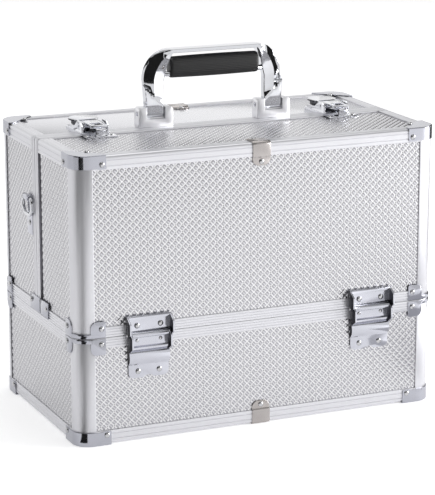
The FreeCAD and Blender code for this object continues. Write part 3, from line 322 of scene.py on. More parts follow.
def embossTree():
    # a grid pressed into a diamond lattice, laid on a plain block that closes its back, with a
    # painted highlight stored as its lattice attribute
    tree, source = startTree(
        "embossedSheet", Int=("stepsLong", "stepsWide"), Material=("finish",),
        Float=("length", "width", "thickness", "line", "relief", "groove", "lineShare"))

    def math2(operation, a, b):
        links = {i: v for i, v in enumerate((a, b)) if not isinstance(v, float)}
        values = {i: v for i, v in enumerate((a, b)) if isinstance(v, float)}
        return addNode(tree, "ShaderNodeMath", {"operation": operation, **values}, links).outputs[0]

    grid = addNode(tree, "GeometryNodeMeshGrid", None, {
        "Size X": source["length"], "Size Y": source["width"],
        "Vertices X": source["stepsLong"], "Vertices Y": source["stepsWide"]})
    where = addNode(tree, "ShaderNodeSeparateXYZ", None,
                    {0: addNode(tree, "GeometryNodeInputPosition").outputs[0]}).outputs
    step = math2("MULTIPLY", source["line"], math.sqrt(2))

    def groovePull(value):
        # 0 in the groove, 1 in the middle of a pillow
        turns = math2("DIVIDE", value, step)
        swing = math2("PINGPONG", turns, 0.5)
        return math2("MULTIPLY", swing, 2.0)

    across = groovePull(math2("ADD", where["X"], where["Y"]))
    down = groovePull(math2("SUBTRACT", where["X"], where["Y"]))
    nearest = math2("SMOOTH_MIN", across, down)

    def crest(pull, strength):
        # 1 on the lattice line, falling to 0 a little way up the pillow
        fall = addNode(tree, "ShaderNodeMapRange", {
            "interpolation_type": "SMOOTHSTEP", "To Min": strength, "To Max": 0.0},
            {"Value": pull, "From Max": source["lineShare"]})
        return fall.outputs["Result"]

    # painted highlight: bright on the lattice lines and crowns, stored for the sheet's colour
    spine = crest(math2("SUBTRACT", 1.0, across), emboss["spineShade"])
    lines = math2("MAXIMUM", crest(across, 1.0), crest(down, emboss["crossShade"]))
    bright = math2("MAXIMUM", lines, spine)
    rise = addNode(tree, "ShaderNodeMapRange", {"interpolation_type": "SMOOTHSTEP"},
                   {"Value": nearest, "From Max": source["groove"]}).outputs[0]
    height = math2("MULTIPLY", math2("SUBTRACT", rise, 1.0), source["relief"])
    lift = addNode(tree, "ShaderNodeCombineXYZ", None, {"Z": height})
    raised = addNode(tree, "GeometryNodeSetPosition", None,
                     {"Geometry": grid.outputs["Mesh"], "Offset": lift.outputs[0]})
    marked = addNode(tree, "GeometryNodeStoreNamedAttribute",
                     {"data_type": "FLOAT", "domain": "POINT", "Name": "lattice"},
                     {"Geometry": raised.outputs[0], "Value": bright})
    deep = math2("SUBTRACT", source["thickness"], source["relief"])
    blockSize = addNode(tree, "ShaderNodeCombineXYZ", None,
                        {"X": source["length"], "Y": source["width"], "Z": deep})
    block = addNode(tree, "GeometryNodeMeshCube", None, {"Size": blockSize.outputs[0]})
    sink = math2("MULTIPLY", math2("ADD", source["thickness"], source["relief"]), -0.5)
    below = addNode(tree, "ShaderNodeCombineXYZ", None, {"Z": sink})
    lowered = addNode(tree, "GeometryNodeTransform", None,
                      {"Geometry": block.outputs["Mesh"], "Translation": below.outputs[0]})
    whole = addNode(tree, "GeometryNodeJoinGeometry", None, {"Geometry": marked.outputs[0]})
    tree.links.new(lowered.outputs[0], whole.inputs[0])
    return endTree(tree, whole.outputs[0], source["finish"])


def grow(name, tree, values, start=None):
    # runs a Geometry Nodes tree and keeps the plain mesh that it makes
    host = newPiece(name + "Host", start or bpy.data.meshes.new(name + "Host"))
    modifier = host.modifiers.new("grow", "NODES")
    modifier.node_group = tree
    for item in tree.interface.items_tree:
        if item.item_type == "SOCKET" and item.in_out == "INPUT" and item.name in values:
            modifier[item.identifier] = values[item.name]
    bpy.context.view_layer.update()
    evaluated = host.evaluated_get(bpy.context.evaluated_depsgraph_get())
    mesh = bpy.data.meshes.new_from_object(evaluated)
    host.modifiers.remove(modifier)
    bpy.data.objects.remove(host)
    mesh.name = name
    return mesh


sheetTree = embossTree()
# where a sheet's own X, Y and outward Z point
facings = {
    "-Y": ((1, 0, 0), (0, 0, 1), (0, -1, 0)),
    "+Y": ((-1, 0, 0), (0, 0, 1), (0, 1, 0)),
    "+X": ((0, 1, 0), (0, 0, 1), (1, 0, 0)),
    "-X": ((0, -1, 0), (0, 0, 1), (-1, 0, 0)),
    "+Z": ((1, 0, 0), (0, 1, 0), (0, 0, 1)),
}


def sheetMesh(name, low, high, facing):
    finish = finishes["topSheet" if facing == "+Z" else "sheet"]
    right, up, out = (Vector(v) for v in facings[facing])
    size = high - low
    length = sum(abs(a * b) for a, b in zip(size, right))
    width = sum(abs(a * b) for a, b in zip(size, up))
    thickness = sum(abs(a * b) for a, b in zip(size, out))
    step = emboss["line"] * math.sqrt(2) * mm / emboss["perCell"]
    mesh = grow(name, sheetTree, {
        "length": length, "width": width, "thickness": thickness,
        "line": emboss["line"] * mm, "relief": emboss["relief"] * mm,
        "groove": emboss["groove"], "lineShare": emboss["lineShare"],
        "stepsLong": round(length / step) + 1, "stepsWide": round(width / step) + 1,
        "finish": finish})
    middle = (low + high) / 2 + out * thickness / 2
    turn = Matrix((right, up, out)).transposed().to_4x4()
    mesh.transform(Matrix.Translation(middle) @ turn)
    mesh.shade_smooth()
    return mesh


def joinMeshes(name, meshes):
    form = bmesh.new()
    for mesh in meshes:
        form.from_mesh(mesh)
    joined = bpy.data.meshes.new(name)
    form.to_mesh(joined)
    form.free()
    for material in meshes[0].materials:
        joined.materials.append(material)
    return joined


def embossedPanel(node, facing):
    low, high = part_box(node)
    if node == "front_lid_end_panels":
        # the sheet stops short of the seal beside the split
        high.y -= emboss["sealGap"] * mm
    if facing == "ends":
        # one node holds both end boards, so each half is read by itself
        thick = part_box("base_front_panel")[1].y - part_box("base_front_panel")[0].y
        right = sheetMesh(node + "R", Vector((high.x - thick, low.y, low.z)), high, "+X")
        left = sheetMesh(node + "L", low, Vector((low.x + thick, high.y, high.z)), "-X")
        mesh = joinMeshes(node + "Embossed", [right, left])
    else:
        mesh = sheetMesh(node + "Embossed", low, high, facing)
    finishPiece(newPiece(node + "Embossed", mesh), node)


for node, facing in (
        ("front_lid_front_panel", "-Y"), ("base_front_panel", "-Y"),
        ("rear_lid_rear_panel", "+Y"), ("base_rear_panel", "+Y"),
        ("front_lid_top_panel", "+Z"),
        ("front_lid_end_panels", "ends"), ("rear_lid_end_panels", "ends"),
        ("base_end_panels", "ends")):
    embossedPanel(node, facing)
easedCopy("rear_lid_top_panel", 0.2, "plainSheet")
report("embossed sheets laid")


rails = {
    "edgeBand": 12.5, "edgeRound": 3.0, "seamBand": 9.4, "postLeg": 17.0,
    "edgeGrooves": (4.3, 9.2), "seamGrooves": (2.3, 4.7, 7.1),
    "rimGrooves": (3.0, 7.9, 8.9, 13.6),   # places from the split, on the wide rear rim
    "rimWide": 17.0, "thinRim": 1.7, "rimLip": 6.0, "sealDeep": 3.2,
    "grooveWide": 0.9, "grooveDeep": 0.4, "grooveFloor": 0.3,   # the floor's share of the width
    "eased": 0.35,
    "easedShare": 0.3,     # where the middle point of an eased edge lies
    "webShare": 1.2,       # the seam rail's web is a little thicker than its face
    "sideShare": 1.1,      # how far in from the ends, in lips, the rim has the posts' finish
    "flangeShare": 0.98,   # the rim's flange stops just inside the face of its web
    "roundSteps": 6,
}


def arcPoints(centre, radius, start, end, steps):
    angles = [math.radians(start + (end - start) * i / steps) for i in range(steps + 1)]
    return [(centre[0] + radius * math.cos(a), centre[1] + radius * math.sin(a)) for a in angles]


def grooved(places):
    # depth and height along an outer face, with a fine valley at each place
    half, deep = rails["grooveWide"] / 2, rails["grooveDeep"]
    floor = half * rails["grooveFloor"]
    points = []
    for at in places:
        points += [(0, at - half), (deep, at - floor), (deep, at + floor), (0, at + half)]
    return points


def swapped(points):
    # the same points on the other wall of a corner
    return [(b, a) for a, b in reversed(points)]


def easedEnd(end, ease):
    # the small round at the end of an outer face
    share = ease * rails["easedShare"]
    return [(0, end - ease), (share, end - share), (ease, end)]


def edgeSection():
    # two walls that meet at a round corner, with a channel for a board behind each
    band, r = rails["edgeBand"], rails["edgeRound"]
    wall, back, lip = case["wall"], case["back"], case["lip"]
    face = grooved(rails["edgeGrooves"]) + easedEnd(band, rails["eased"])
    inside = [(wall, band), (wall, lip), (back, lip), (back, band), (lip, band), (lip, lip),
              (band, lip), (band, back), (lip, back), (lip, wall), (band, wall)]
    return arcPoints((r, r), r, 270, 180, rails["roundSteps"]) + face + inside + swapped(face)


def seamSection():
    # a flat bar with a channel for a board above or below it
    band = rails["seamBand"]
    wall, back, lip = case["wall"], case["back"], case["lip"]
    web = wall * rails["webShare"]
    start = [(a, band - b) for a, b in reversed(easedEnd(band, rails["eased"]))]
    return (start + grooved(rails["seamGrooves"]) + easedEnd(band, rails["eased"])
            + [(wall, band), (wall, web), (back, web), (back, band), (lip, band), (lip, 0)])


def addPrism(form, outline, start, stop, place, finish=0):
    # an outline in millimetres carried straight from start to stop
    rings = [[form.verts.new(place(a, b, run) * mm) for a, b in outline] for run in (start, stop)]
    count = len(outline)
    faces = [form.faces.new(rings[0]), form.faces.new(list(reversed(rings[1])))]
    for i in range(count):
        after = (i + 1) % count
        faces.append(form.faces.new((rings[0][i], rings[0][after], rings[1][after], rings[1][i])))
    for face in faces:
        face.material_index = finish


def alongX(ySide, level, way):
    return lambda a, b, run: Vector((run, ySide * (case["faceY"] - a), level + b * way))


def alongY(xSide, level, way):
    return lambda a, b, run: Vector((xSide * (case["endX"] - a), run, level + b * way))


def ribbedRails(node, runs):
    form = bmesh.new()
    for section, start, stop, place, finish in runs:
        addPrism(form, section, start, stop, place, finish)
    finishPiece(newPiece(node + "Ribbed", meshFrom(node, form, sharp=25)), node, ["railX", "railY"])


runX = case["endX"] - rails["postLeg"]
runY = case["faceY"] - rails["postLeg"]
edge, seam = edgeSection(), seamSection()
ribbedRails("base_bottom_profiles",
            [(edge, -runX, runX, alongX(side, case["footZ"], 1), 0) for side in (1, -1)]
            + [(edge, -runY, runY, alongY(side, case["footZ"], 1), 1) for side in (1, -1)])
ribbedRails("base_rim_profiles",
            [(seam, -runX, runX, alongX(side, case["baseTop"], -1), 0) for side in (1, -1)]
            + [(seam, -runY, runY, alongY(side, case["baseTop"], -1), 1) for side in (1, -1)])
for lid, side, end in (("front_lid", -1, case["frontSplit"] - rails["thinRim"]),
                       ("rear_lid", 1, case["rearSplit"] + rails["rimWide"])):
    ribbedRails(lid + "_edge_profiles",
                [(edge, -runX, runX, alongX(side, case["topZ"], -1), 0),
                 (seam, -runX, runX, alongX(side, case["lidBottom"], 1), 0)]
                + [(edge, side * runY, end, alongY(x, case["topZ"], -1), 1) for x in (1, -1)]
                + [(seam, side * runY, end, alongY(x, case["lidBottom"], 1), 1) for x in (1, -1)])


def archPath(depth, foot):
    # the line round both ends and the top of a lid, so far inside its outer face
    half, crown = case["endX"] - depth, case["topZ"] - depth
    r = rails["edgeRound"] - depth
    right = arcPoints((half - r, crown - r), r, 0, 90, rails["roundSteps"])
    return [(half, foot)] + right + [(-x, z) for x, z in reversed(right)] + [(-half, foot)]


def splitRim(node, split, way, wide, grooves, foot, seal=0.0):
    # the frame round the open side of a lid: a flange over the boards and a web
    form = bmesh.new()
    wall, back, lip, ease = case["wall"], case["back"], case["lip"], rails["eased"]
    low = case["lidBottom"]
    flange = wall * rails["flangeShare"]
    section = ([(0, wall)] + grooved(grooves) + easedEnd(wide, min(ease, (wide - wall) / 3))
               + [(flange, wide), (flange, wall)])
    levels = {o: archPath(o, foot) for o in {o for o, t in section}}
    rings = [[form.verts.new(Vector((levels[o][i][0], split + way * t, levels[o][i][1])) * mm)
              for o, t in section] for i in range(len(levels[0]))]
    count = len(section)
    for ring, following in zip(rings, rings[1:]):
        for i in range(count):
            after = (i + 1) % count
            form.faces.new((ring[i], ring[after], following[after], following[i]))
    form.faces.new(rings[0])
    form.faces.new(rings[-1])
    hole = case["endX"] - lip
    roof = case["topZ"] - lip

    def upright(a, b, run):
        return Vector((a, split + way * run, b))

    inner = [(-hole, foot), (-hole, roof), (hole, roof), (hole, foot)]
    addPrism(form, archPath(0.0, foot) + inner, 0, wall, upright)
    out = case["endX"] - back
    shelf = low + rails["seamBand"]
    brow, span = case["topZ"] - rails["edgeBand"], case["endX"] - rails["edgeBand"]
    for x0, x1, z0, z1 in ((hole, out, shelf, brow), (-out, -hole, shelf, brow),
                           (-span, span, roof, case["topZ"] - back)):
        addPrism(form, [(x0, z0), (x1, z0), (x1, z1), (x0, z1)], wall, wall + rails["rimLip"],
                 upright)
    sideFrom = (case["endX"] - lip * rails["sideShare"]) * mm
    for face in form.faces:
        face.material_index = int(abs(face.calc_center_median().x) > sideFrom)
    if seal:
        # below the top profile the web steps back behind a black seal: the recess is real, its black
        # is painted shadow
        sunk = case["endX"] - seal
        for x0, x1 in ((hole, sunk), (-sunk, -hole)):
            addPrism(form, [(x0, low), (x1, low), (x1, foot), (x0, foot)], 0, wall, upright, 2)
    finishPiece(newPiece(node + "Ribbed", meshFrom(node, form, sharp=25)), node,
                ["railX", "post", "seal"])


splitRim("front_lid_split_rim", case["frontSplit"], -1, rails["thinRim"], (),
         case["topZ"] - rails["edgeBand"], rails["sealDeep"])
splitRim("rear_lid_split_rim", case["rearSplit"], 1, rails["rimWide"], rails["rimGrooves"],
         case["lidBottom"])
for node in ("base_corner_posts", "front_lid_corner_posts", "rear_lid_corner_posts"):
    easedCopy(node, 0.3, "post")
report("extrusions drawn")


cap = {
    "sheet": 0.9, "topReach": 29.0, "footReach": 30.5, "topSkirt": 12.6, "footSkirt": 13.0,
    "bend": 15.3,     # inside bend round the corner post
    "topRound": 0.8,  # rolled edge between the top and the skirt
    "ear": 0.6,       # how much deeper the skirt is at its rivets
    "earFrom": 4.2, "earWide": 4.4,   # the ear's middle from the skirt's end, and its half width
    "tip": 4.6,       # how far the top plate narrows beside the profiles
    "support": 0.4,   # a ring of faces this far from the rolled edge keeps it tight
    "flatSteps": 8, "bendDegrees": 6, "rollDegrees": 15,
}


def addCap(form, xSide, ySide, level, way, reach, skirt):
    # a shell over one corner: rings from the skirt's edge up over the rolled edge
    ex, fy, sheet, bend, r = case["endX"], case["faceY"], cap["sheet"], cap["bend"], cap["topRound"]
    outer = bend + sheet
    steps = cap["flatSteps"]
    flats = [reach - (reach - bend) * i / steps for i in range(steps)]
    plan = [((-u, sheet), (0, 1), u) for u in flats]
    for a in range(0, 91, cap["bendDegrees"]):
        angle = math.radians(a)
        plan.append(((outer * math.sin(angle) - bend, outer * math.cos(angle) - bend),
                     (math.sin(angle), math.cos(angle)), bend * math.cos(math.radians(2 * a))))
    plan += [((sheet, -u), (1, 0), u) for u in reversed(flats)]
    top = level + sheet * way
    rolled = [(r * (1 - math.cos(a)), r * (1 - math.sin(a)))
              for a in (math.radians(k) for k in range(0, 91, cap["rollDegrees"]))]
    beside = r + cap["support"]
    rings = []
    for inward, drop in [(0.0, skirt), (0.0, beside)] + rolled + [(beside, 0.0)]:
        ring = []
        for (x, y), (nx, ny), u in plan:
            ear = 0.0
            if drop == skirt:
                away = (u - reach + cap["earFrom"]) / cap["earWide"]
                ear = cap["ear"] * (max(0.0, 1 - away ** 2) ** 0.5 - 1)
            z = top - (drop + ear) * way
            ring.append(form.verts.new(Vector((xSide * (ex + x - nx * inward),
                                               ySide * (fy + y - ny * inward), z)) * mm))
        rings.append(ring)
    for low, high in zip(rings, rings[1:]):
        for i in range(len(plan) - 1):
            form.faces.new((low[i], low[i + 1], high[i + 1], high[i]))
    inner = [form.verts.new(Vector((xSide * (ex + x), ySide * (fy + y), top)) * mm)
             for x, y in ((-cap["tip"], -reach), (-reach, -cap["tip"]))]
    form.faces.new(rings[-1] + inner)


def capPiece(node, places):
    form = bmesh.new()
    for place in places:
        addCap(form, *place)
    mesh = meshFrom(node, form, sharp=40)
    shell = bmesh.new()
    shell.from_mesh(mesh)
    for rim in shell.edges:
        # the cut edge of the sheet stays crisp
        if rim.is_boundary:
            rim.smooth = False
    shell.to_mesh(mesh)
    shell.free()
    piece = newPiece(node + "Pressed", mesh)
    wall = piece.modifiers.new("sheetMetal", "SOLIDIFY")
    wall.thickness = cap["sheet"] * mm
    wall.offset = -1
    finishPiece(piece, node, ["cap"])


for node, ySides, level, way, reach, skirt in (
        ("base_bottom_caps", (1, -1), "footZ", -1, "footReach", "footSkirt"),
        ("front_lid_top_caps", (-1,), "topZ", 1, "topReach", "topSkirt"),
        ("rear_lid_top_caps", (1,), "topZ", 1, "topReach", "topSkirt")):
    capPiece(node, [(x, y, case[level], way, cap[reach], cap[skirt])
                    for x in (1, -1) for y in ySides])
report("corner caps pressed")


rivet = {"segments": 20, "rings": 10}


def rivetTree():
    # a domed head on each point, turned and stretched by the point's own attributes
    tree, source = startTree("rivetHeads", Geometry=("Geometry",), Int=("segments", "rings"),
                             Material=("finish",))
    ball = addNode(tree, "GeometryNodeMeshUVSphere", {"Radius": 1.0},
                   {"Segments": source["segments"], "Rings": source["rings"]})
    way, shape = (addNode(tree, "GeometryNodeInputNamedAttribute",
                          {"data_type": "FLOAT_VECTOR", "Name": name}) for name in ("way", "shape"))
    turn = addNode(tree, "FunctionNodeAlignRotationToVector", {"axis": "Z"},
                   {"Vector": way.outputs["Attribute"]})
    heads = addNode(tree, "GeometryNodeInstanceOnPoints", None, {
        "Points": source["Geometry"], "Instance": ball.outputs["Mesh"],
        "Rotation": turn.outputs["Rotation"], "Scale": shape.outputs["Attribute"]})
    return endTree(tree, heads.outputs["Instances"], source["finish"])


def headsOf(node):
    # the box of each separate head of a rivet node
    form = mergedForm(node)
    seen, heads = set(), []
    for start in form.verts:
        if start in seen:
            continue
        group, waiting = [], [start]
        seen.add(start)
        while waiting:
            vert = waiting.pop()
            group.append(vert.co.copy())
            for edge in vert.link_edges:
                other = edge.other_vert(vert)
                if other not in seen:
                    seen.add(other)
                    waiting.append(other)
        low = Vector([min(v[i] for v in group) for i in range(3)])
        high = Vector([max(v[i] for v in group) for i in range(3)])
        heads.append((low, high))
    form.free()
    return heads


def domedRivets(node, tree):
    # a head's thin direction is the way it points, outwards from the middle of the case
    points, ways, shapes = [], [], []
    middle = Vector((0, 0, case["topZ"] * mm / 2))
    for low, high in headsOf(node):
        size = high - low
        thin = min(range(3), key=lambda i: size[i])
        centre = (low + high) / 2
        out = 1 if centre[thin] > middle[thin] else -1
        foot = centre.copy()
        foot[thin] -= out * size[thin] / 2
        way = Vector((0, 0, 0))
        way[thin] = out
        wide = max(size) / 2
        points.append(foot)
        ways.append(way)
        shapes.append(Vector((wide, wide, size[thin])))
    host = bpy.data.meshes.new(node + "Places")
    host.from_pydata([tuple(p) for p in points], [], [])
    for name, values in (("way", ways), ("shape", shapes)):
        layer = host.attributes.new(name, "FLOAT_VECTOR", "POINT")
        for item, value in zip(layer.data, values):
            item.vector = value
    mesh = grow(node + "Domed", tree, {**rivet, "finish": finishes["rivet"]}, host)
    mesh.shade_smooth()
    finishPiece(newPiece(node + "Domed", mesh), node)


headTree = rivetTree()
for node in ("base_rivets", "front_lid_rivets", "rear_lid_rivets"):
    domedRivets(node, headTree)
report("rivets set")


handleLow, handleHigh = boxMm("handle_frame")
gripLow, gripHigh = boxMm("handle_grip")
handle = {
    "pivotZ": (boxMm("handle_pins")[0].z + boxMm("handle_pins")[1].z) / 2,
    "legOut": 67.1, "legIn": 50.1, "legDeep": 4.5,
    "footDrops": (4.4, 4.1, 3.3, 2.0, 0.0),   # levels below the pivot, round the foot
    "legTop": 279.0,      # where the leg starts to swell
    "legStep": 1.4, "legSteps": 14,
    "innerLag": 2.0,      # how far the inner edge trails the outer one up the swell
    "cornerOver": 1.5,    # how far the round corner reaches over the grip
    "innerDip": 3.0, "innerOver": 1.0,   # where the corner's inner edge starts and ends
    "turns": 24,          # steps round the corner
    "deepen": (0.25, 1.0), "runOut": (0.55, 0.95),   # shares of the corner for depth and facets
    "ridge": 0.49,        # place of the ridge between the outer edge and the inner one
    "hollow": 2.2, "hollowEase": 0.35,   # fall of the inner facet and how it flattens
    "tipZ": 288.5, "tipShare": 0.34,     # a point of the arc at which the facets end
    "outerRise": 8.0, "outerBow": 0.7,   # its climb to the outer edge and how that bends
    "innerDrop": 8.0, "innerBow": 0.8,   # and its fall to the inner one
    "blend": 2.2,         # half the height over which a facet runs out
    "thinnest": 1.6, "edgeWall": 0.5,    # what is left behind a facet
    "outerShares": (0.0, 0.03, 0.1, 0.18, 0.26, 0.34, 0.42),
    "innerShares": (0.56, 0.66, 0.78, 0.9, 0.97, 1.0),
    "edgeEase": {0.0: 0.16, 0.03: 0.03, 0.97: 0.03, 1.0: 0.16},   # rounding of the edges
    "spineWall": 3.5, "spineDeep": 7.0,
}


def smooth(low, high, value):
    # 0 below low, 1 above high and an eased step between them
    share = min(1.0, max(0.0, (value - low) / (high - low)))
    return share * share * (3 - 2 * share)


def handleStations():
    # outer point, inner point, half depth and how strongly the facets are cut, on the right
    pivot, deep, top = handle["pivotZ"], handle["legDeep"], handle["legTop"]
    stations = []
    for drop in handle["footDrops"]:
        stations.append(((handle["legOut"], pivot - drop), (handle["legIn"], pivot - drop),
                         math.sqrt(deep * deep - drop * drop), 0.0))
    wide, crown = handleHigh.x, handleHigh.z
    sweep = wide - gripHigh.x + handle["cornerOver"]
    start = crown - sweep
    for step in range(handle["legSteps"]):
        z = top + handle["legStep"] * step
        share = (z - top) / (start - top)
        stations.append(((handle["legOut"] + (wide - handle["legOut"]) * share, z),
                         (handle["legIn"], z - handle["innerLag"] * share), deep, 1.0))
    innerLow = Vector((handle["legIn"], start - handle["innerDip"]))
    innerHigh = Vector((gripHigh.x + handle["innerOver"], gripHigh.z))
    turns = handle["turns"]
    for i in range(turns + 1):
        share = i / turns
        angle = math.radians(90 * share)
        outer = (wide - sweep + sweep * math.cos(angle), start + sweep * math.sin(angle))
        inner = innerLow.lerp(innerHigh, (smooth(0, 1, share) + share) / 2)
        deepHere = deep + (handle["spineDeep"] - deep) * smooth(*handle["deepen"], share)
        if i == turns:
            inner = Vector((outer[0], crown - handle["spineWall"]))
        stations.append((outer, tuple(inner), deepHere, 1.0 - smooth(*handle["runOut"], share)))
    return stations


def facetFall(u, z, wide, deep, cut):
    # how far the front has been ground back: a steep outer facet beside a ridge, a
    # shallow hollow inside it, both above an arc that runs down across the leg
    ridge, tip = handle["ridge"], handle["tipShare"]
    if u < tip:
        arc = handle["tipZ"] + handle["outerRise"] * (1 - u / tip) ** handle["outerBow"]
    else:
        beyond = (u - tip) / (1 - tip)
        arc = handle["tipZ"] - handle["innerDrop"] * beyond ** handle["innerBow"]
    above = smooth(arc - handle["blend"], arc + handle["blend"], z)
    if u < ridge:
        fall = min((ridge - u) * wide, deep * 2 - handle["thinnest"])
    else:
        inward = (u - ridge) / (1 - ridge)
        fall = handle["hollow"] * (inward - inward * inward * handle["hollowEase"])
    return fall * above * cut


def handleRing(station):
    # one closed section of the handle: the ground front, then the plain back
    outer, inner, deep, cut = station
    wide = math.dist(outer, inner)
    front, back = [], []
    for u in (*handle["outerShares"], handle["ridge"], *handle["innerShares"]):
        x = outer[0] + (inner[0] - outer[0]) * u
        z = outer[1] + (inner[1] - outer[1]) * u
        half = deep * (1 - handle["edgeEase"].get(u, 0))
        fall = facetFall(u, z, wide, deep, cut)
        front.append((x, min(fall - half, half - handle["edgeWall"]), z))
        back.append((x, half, z))
    return front + back[::-1]


def loft(form, rings):
    # a skin over closed sections, with a face at both ends
    made = [[form.verts.new(Vector(point) * mm) for point in ring] for ring in rings]
    for low, high in zip(made, made[1:]):
        count = len(low)
        for i in range(count):
            after = (i + 1) % count
            form.faces.new((low[i], low[after], high[after], high[i]))
    form.faces.new(made[0])
    form.faces.new(made[-1])


def handleFrame():
    y = (handleLow.y + handleHigh.y) / 2
    right = [[(x, y + dy, z) for x, dy, z in handleRing(s)] for s in handleStations()]
    left = [[(-x, dy, z) for x, dy, z in ring] for ring in reversed(right)]
    form = bmesh.new()
    loft(form, right + left)
    piece = newPiece("handleFrameForged", meshFrom("handleFrameForged", form, sharp=24))
    finishPiece(piece, "handle_frame", ["chrome"])


handleFrame()

grip = {
    "ribs": 40, "ribDeep": 0.28, "endRound": 1.6, "swell": 0.5,
    "square": 2.6,   # 2 is an oval, more is squarer
    "endShares": (0.0, 0.004, 0.012, 0.03), "stations": 16, "pointsPerRib": 4,
}


def gripLoft():
    # an oval bar with fine lengthwise ribs, a little fuller in the middle
    middleY = (gripLow.y + gripHigh.y) / 2
    middleZ = (gripLow.z + gripHigh.z) / 2
    deep, tall = (gripHigh.y - gripLow.y) / 2, (gripHigh.z - gripLow.z) / 2
    steps = grip["ribs"] * grip["pointsPerRib"]
    ends, stations = list(grip["endShares"]), grip["stations"]
    between = [ends[-1] + (1 - 2 * ends[-1]) * i / stations for i in range(1, stations)]
    shares = ends + between + [1 - share for share in reversed(ends)]
    rings = []
    for share in shares:
        x = gripLow.x + (gripHigh.x - gripLow.x) * share
        edge = min(share, 1 - share) * (gripHigh.x - gripLow.x) / grip["endRound"]
        inset = grip["endRound"] * (1 - math.sqrt(max(0.0, 1 - (1 - min(edge, 1)) ** 2)))
        inset += grip["swell"] * (1 - math.sin(math.pi * share))
        ring = []
        for i in range(steps):
            angle = 2 * math.pi * i / steps
            c, s = math.cos(angle), math.sin(angle)
            square = (abs(c) ** grip["square"] + abs(s) ** grip["square"]) ** (-1 / grip["square"])
            rib = grip["ribDeep"] * (0.5 - 0.5 * math.cos(grip["ribs"] * angle))
            ring.append((x, middleY + (deep * square - inset - rib) * c,
                         middleZ + (tall * square - inset - rib) * s))
        rings.append(ring)
    form = bmesh.new()
    loft(form, rings)
    piece = newPiece("gripRibbed", meshFrom("gripRibbed", form, sharp=50))
    finishPiece(piece, "handle_grip", ["grip"])


gripLoft()
easedCopy("grip_pin", 0.3, "chrome")
easedCopy("handle_brackets", 0.45, "satin")
easedCopy("handle_pins", 0.25, "fitting")
report("handle forged")


ring = {
    "wire": 1.6, "sides": 14, "cornerRound": 5.0, "cornerSteps": 6,
    "sideShare": 0.48,   # most of a straight side that one corner may take
    "shoulder": 0.9, "foot": 0.5,   # half widths of the D, as shares of its straight bar's
    "footRise": 5.0,
}


def roundedLoop(corners, radius, steps):
    # a closed outline whose corners are arcs
    points = []
    count = len(corners)
    for i in range(count):
        before, here, after = corners[i - 1], corners[i], corners[(i + 1) % count]
        a = (before - here).normalized()
        b = (after - here).normalized()
        half = a.angle(b) / 2
        shorter = min((before - here).length, (after - here).length)
        cut = min(radius / math.tan(half), shorter * ring["sideShare"])
        centre = here + (a + b).normalized() * (cut / math.cos(half))
        start, end = here + a * cut - centre, here + b * cut - centre
        turn = start.angle(end)
        for k in range(steps + 1):
            share = k / steps
            one = math.sin((1 - share) * turn) / math.sin(turn)
            two = math.sin(share * turn) / math.sin(turn)
            points.append(centre + start * one + end * two)
    return points


def dRing(node, side):
    # round wire bent to a D that hangs from its straight bar
    low, high = boxMm(node)
    wire = ring["wire"]
    x = side * (abs(low.x) + abs(high.x)) / 2
    barZ = high.z - wire
    y0, y1, foot = low.y + wire, high.y - wire, low.z + wire
    middle = (y0 + y1) / 2
    half = (y1 - y0) / 2
    plan = [(1, barZ), (ring["shoulder"], foot + ring["footRise"]), (ring["foot"], foot)]
    corners = ([Vector((x, middle - half * share, z)) for share, z in plan]
               + [Vector((x, middle + half * share, z)) for share, z in reversed(plan)])
    path = roundedLoop(corners, ring["cornerRound"], ring["cornerSteps"])
    form = bmesh.new()
    loops = []
    count = len(path)
    for i, point in enumerate(path):
        along = (path[(i + 1) % count] - path[i - 1]).normalized()
        out = Vector((1, 0, 0))
        aside = along.cross(out).normalized()
        loops.append([form.verts.new((point + (out * math.cos(a) + aside * math.sin(a)) * wire) * mm)
                      for a in (2 * math.pi * k / ring["sides"] for k in range(ring["sides"]))])
    for i in range(count):
        a, b = loops[i], loops[(i + 1) % count]
        for k in range(ring["sides"]):
            j = (k + 1) % ring["sides"]
            form.faces.new((a[k], a[j], b[j], b[k]))
    piece = newPiece(node + "Wire", meshFrom(node + "Wire", form, sharp=60))
    finishPiece(piece, node, ["chrome"])


dRing("right_d_ring", 1)
dRing("left_d_ring", -1)
easedCopy("d_ring_plates", 0.3, "fitting")
report("strap rings bent")


# pressed and moulded pieces that keep their shape, by the radius of their edges
for widthMm, finish, members in (
        (0.25, ["cap"], ("base_seam_brackets", "front_lid_seam_brackets",
                         "rear_lid_seam_brackets")),
        (0.25, ["clip"], ("base_bottom_clips", "front_lid_top_clip", "rear_lid_top_clip")),
        (0.25, ["rivet"], ("hinge_pins",)),
        (0.4, ["latch"], ("latch_bases", "left_latch_claw", "right_latch_claw")),
        (0.2, ["fitting"], ("tray_arm_brackets", "front_tray_arms", "rear_tray_arms")),
        (0.6, ["tray"], ("front_lower_tray", "front_upper_tray", "rear_lower_tray",
                         "rear_upper_tray")),
        (0.4, ["board"], ("base_floor_panel",)),
        (0.3, ["lining"], ("base_lining", "front_lid_lining", "rear_lid_lining")),
        # hinge and latch flanks take painted shade
        (0.3, ["fitting", "flange"], ("hinge_lower_leaves", "front_lid_hinge_upper_leaves",
                                      "rear_lid_hinge_upper_leaves")),
        (0.3, ["latch", "flange"], ("latch_keepers", "left_latch_lever", "right_latch_lever"))):
    for node in members:
        easedCopy(node, widthMm, *finish)
report("fittings and trays eased")


studio = {
    "floorSize": 6.0, "floorHex": "#F4F4F5", "floorGlow": 0.45,
    "floorShine": 0.27,      # the floor's own white in the polished metal
    "roomLight": 0.55,       # how much the white room lights matt surfaces
    "behind": 1.0,           # what the metal sees behind the case
    "inFront": 0.9,          # and on the camera's side of it
    "depthFade": (-0.6, 0.5),     # between these two, by direction
    "wallTop": 0.45,         # how much of that is left above the white wall
    "heightFade": (0.34, 0.6),    # where the wall ends, by direction
    "dark": "#050505", "grey": "#C4C4C8",
    "clothDistance": 1.6, "tableLevel": 0.002,
}
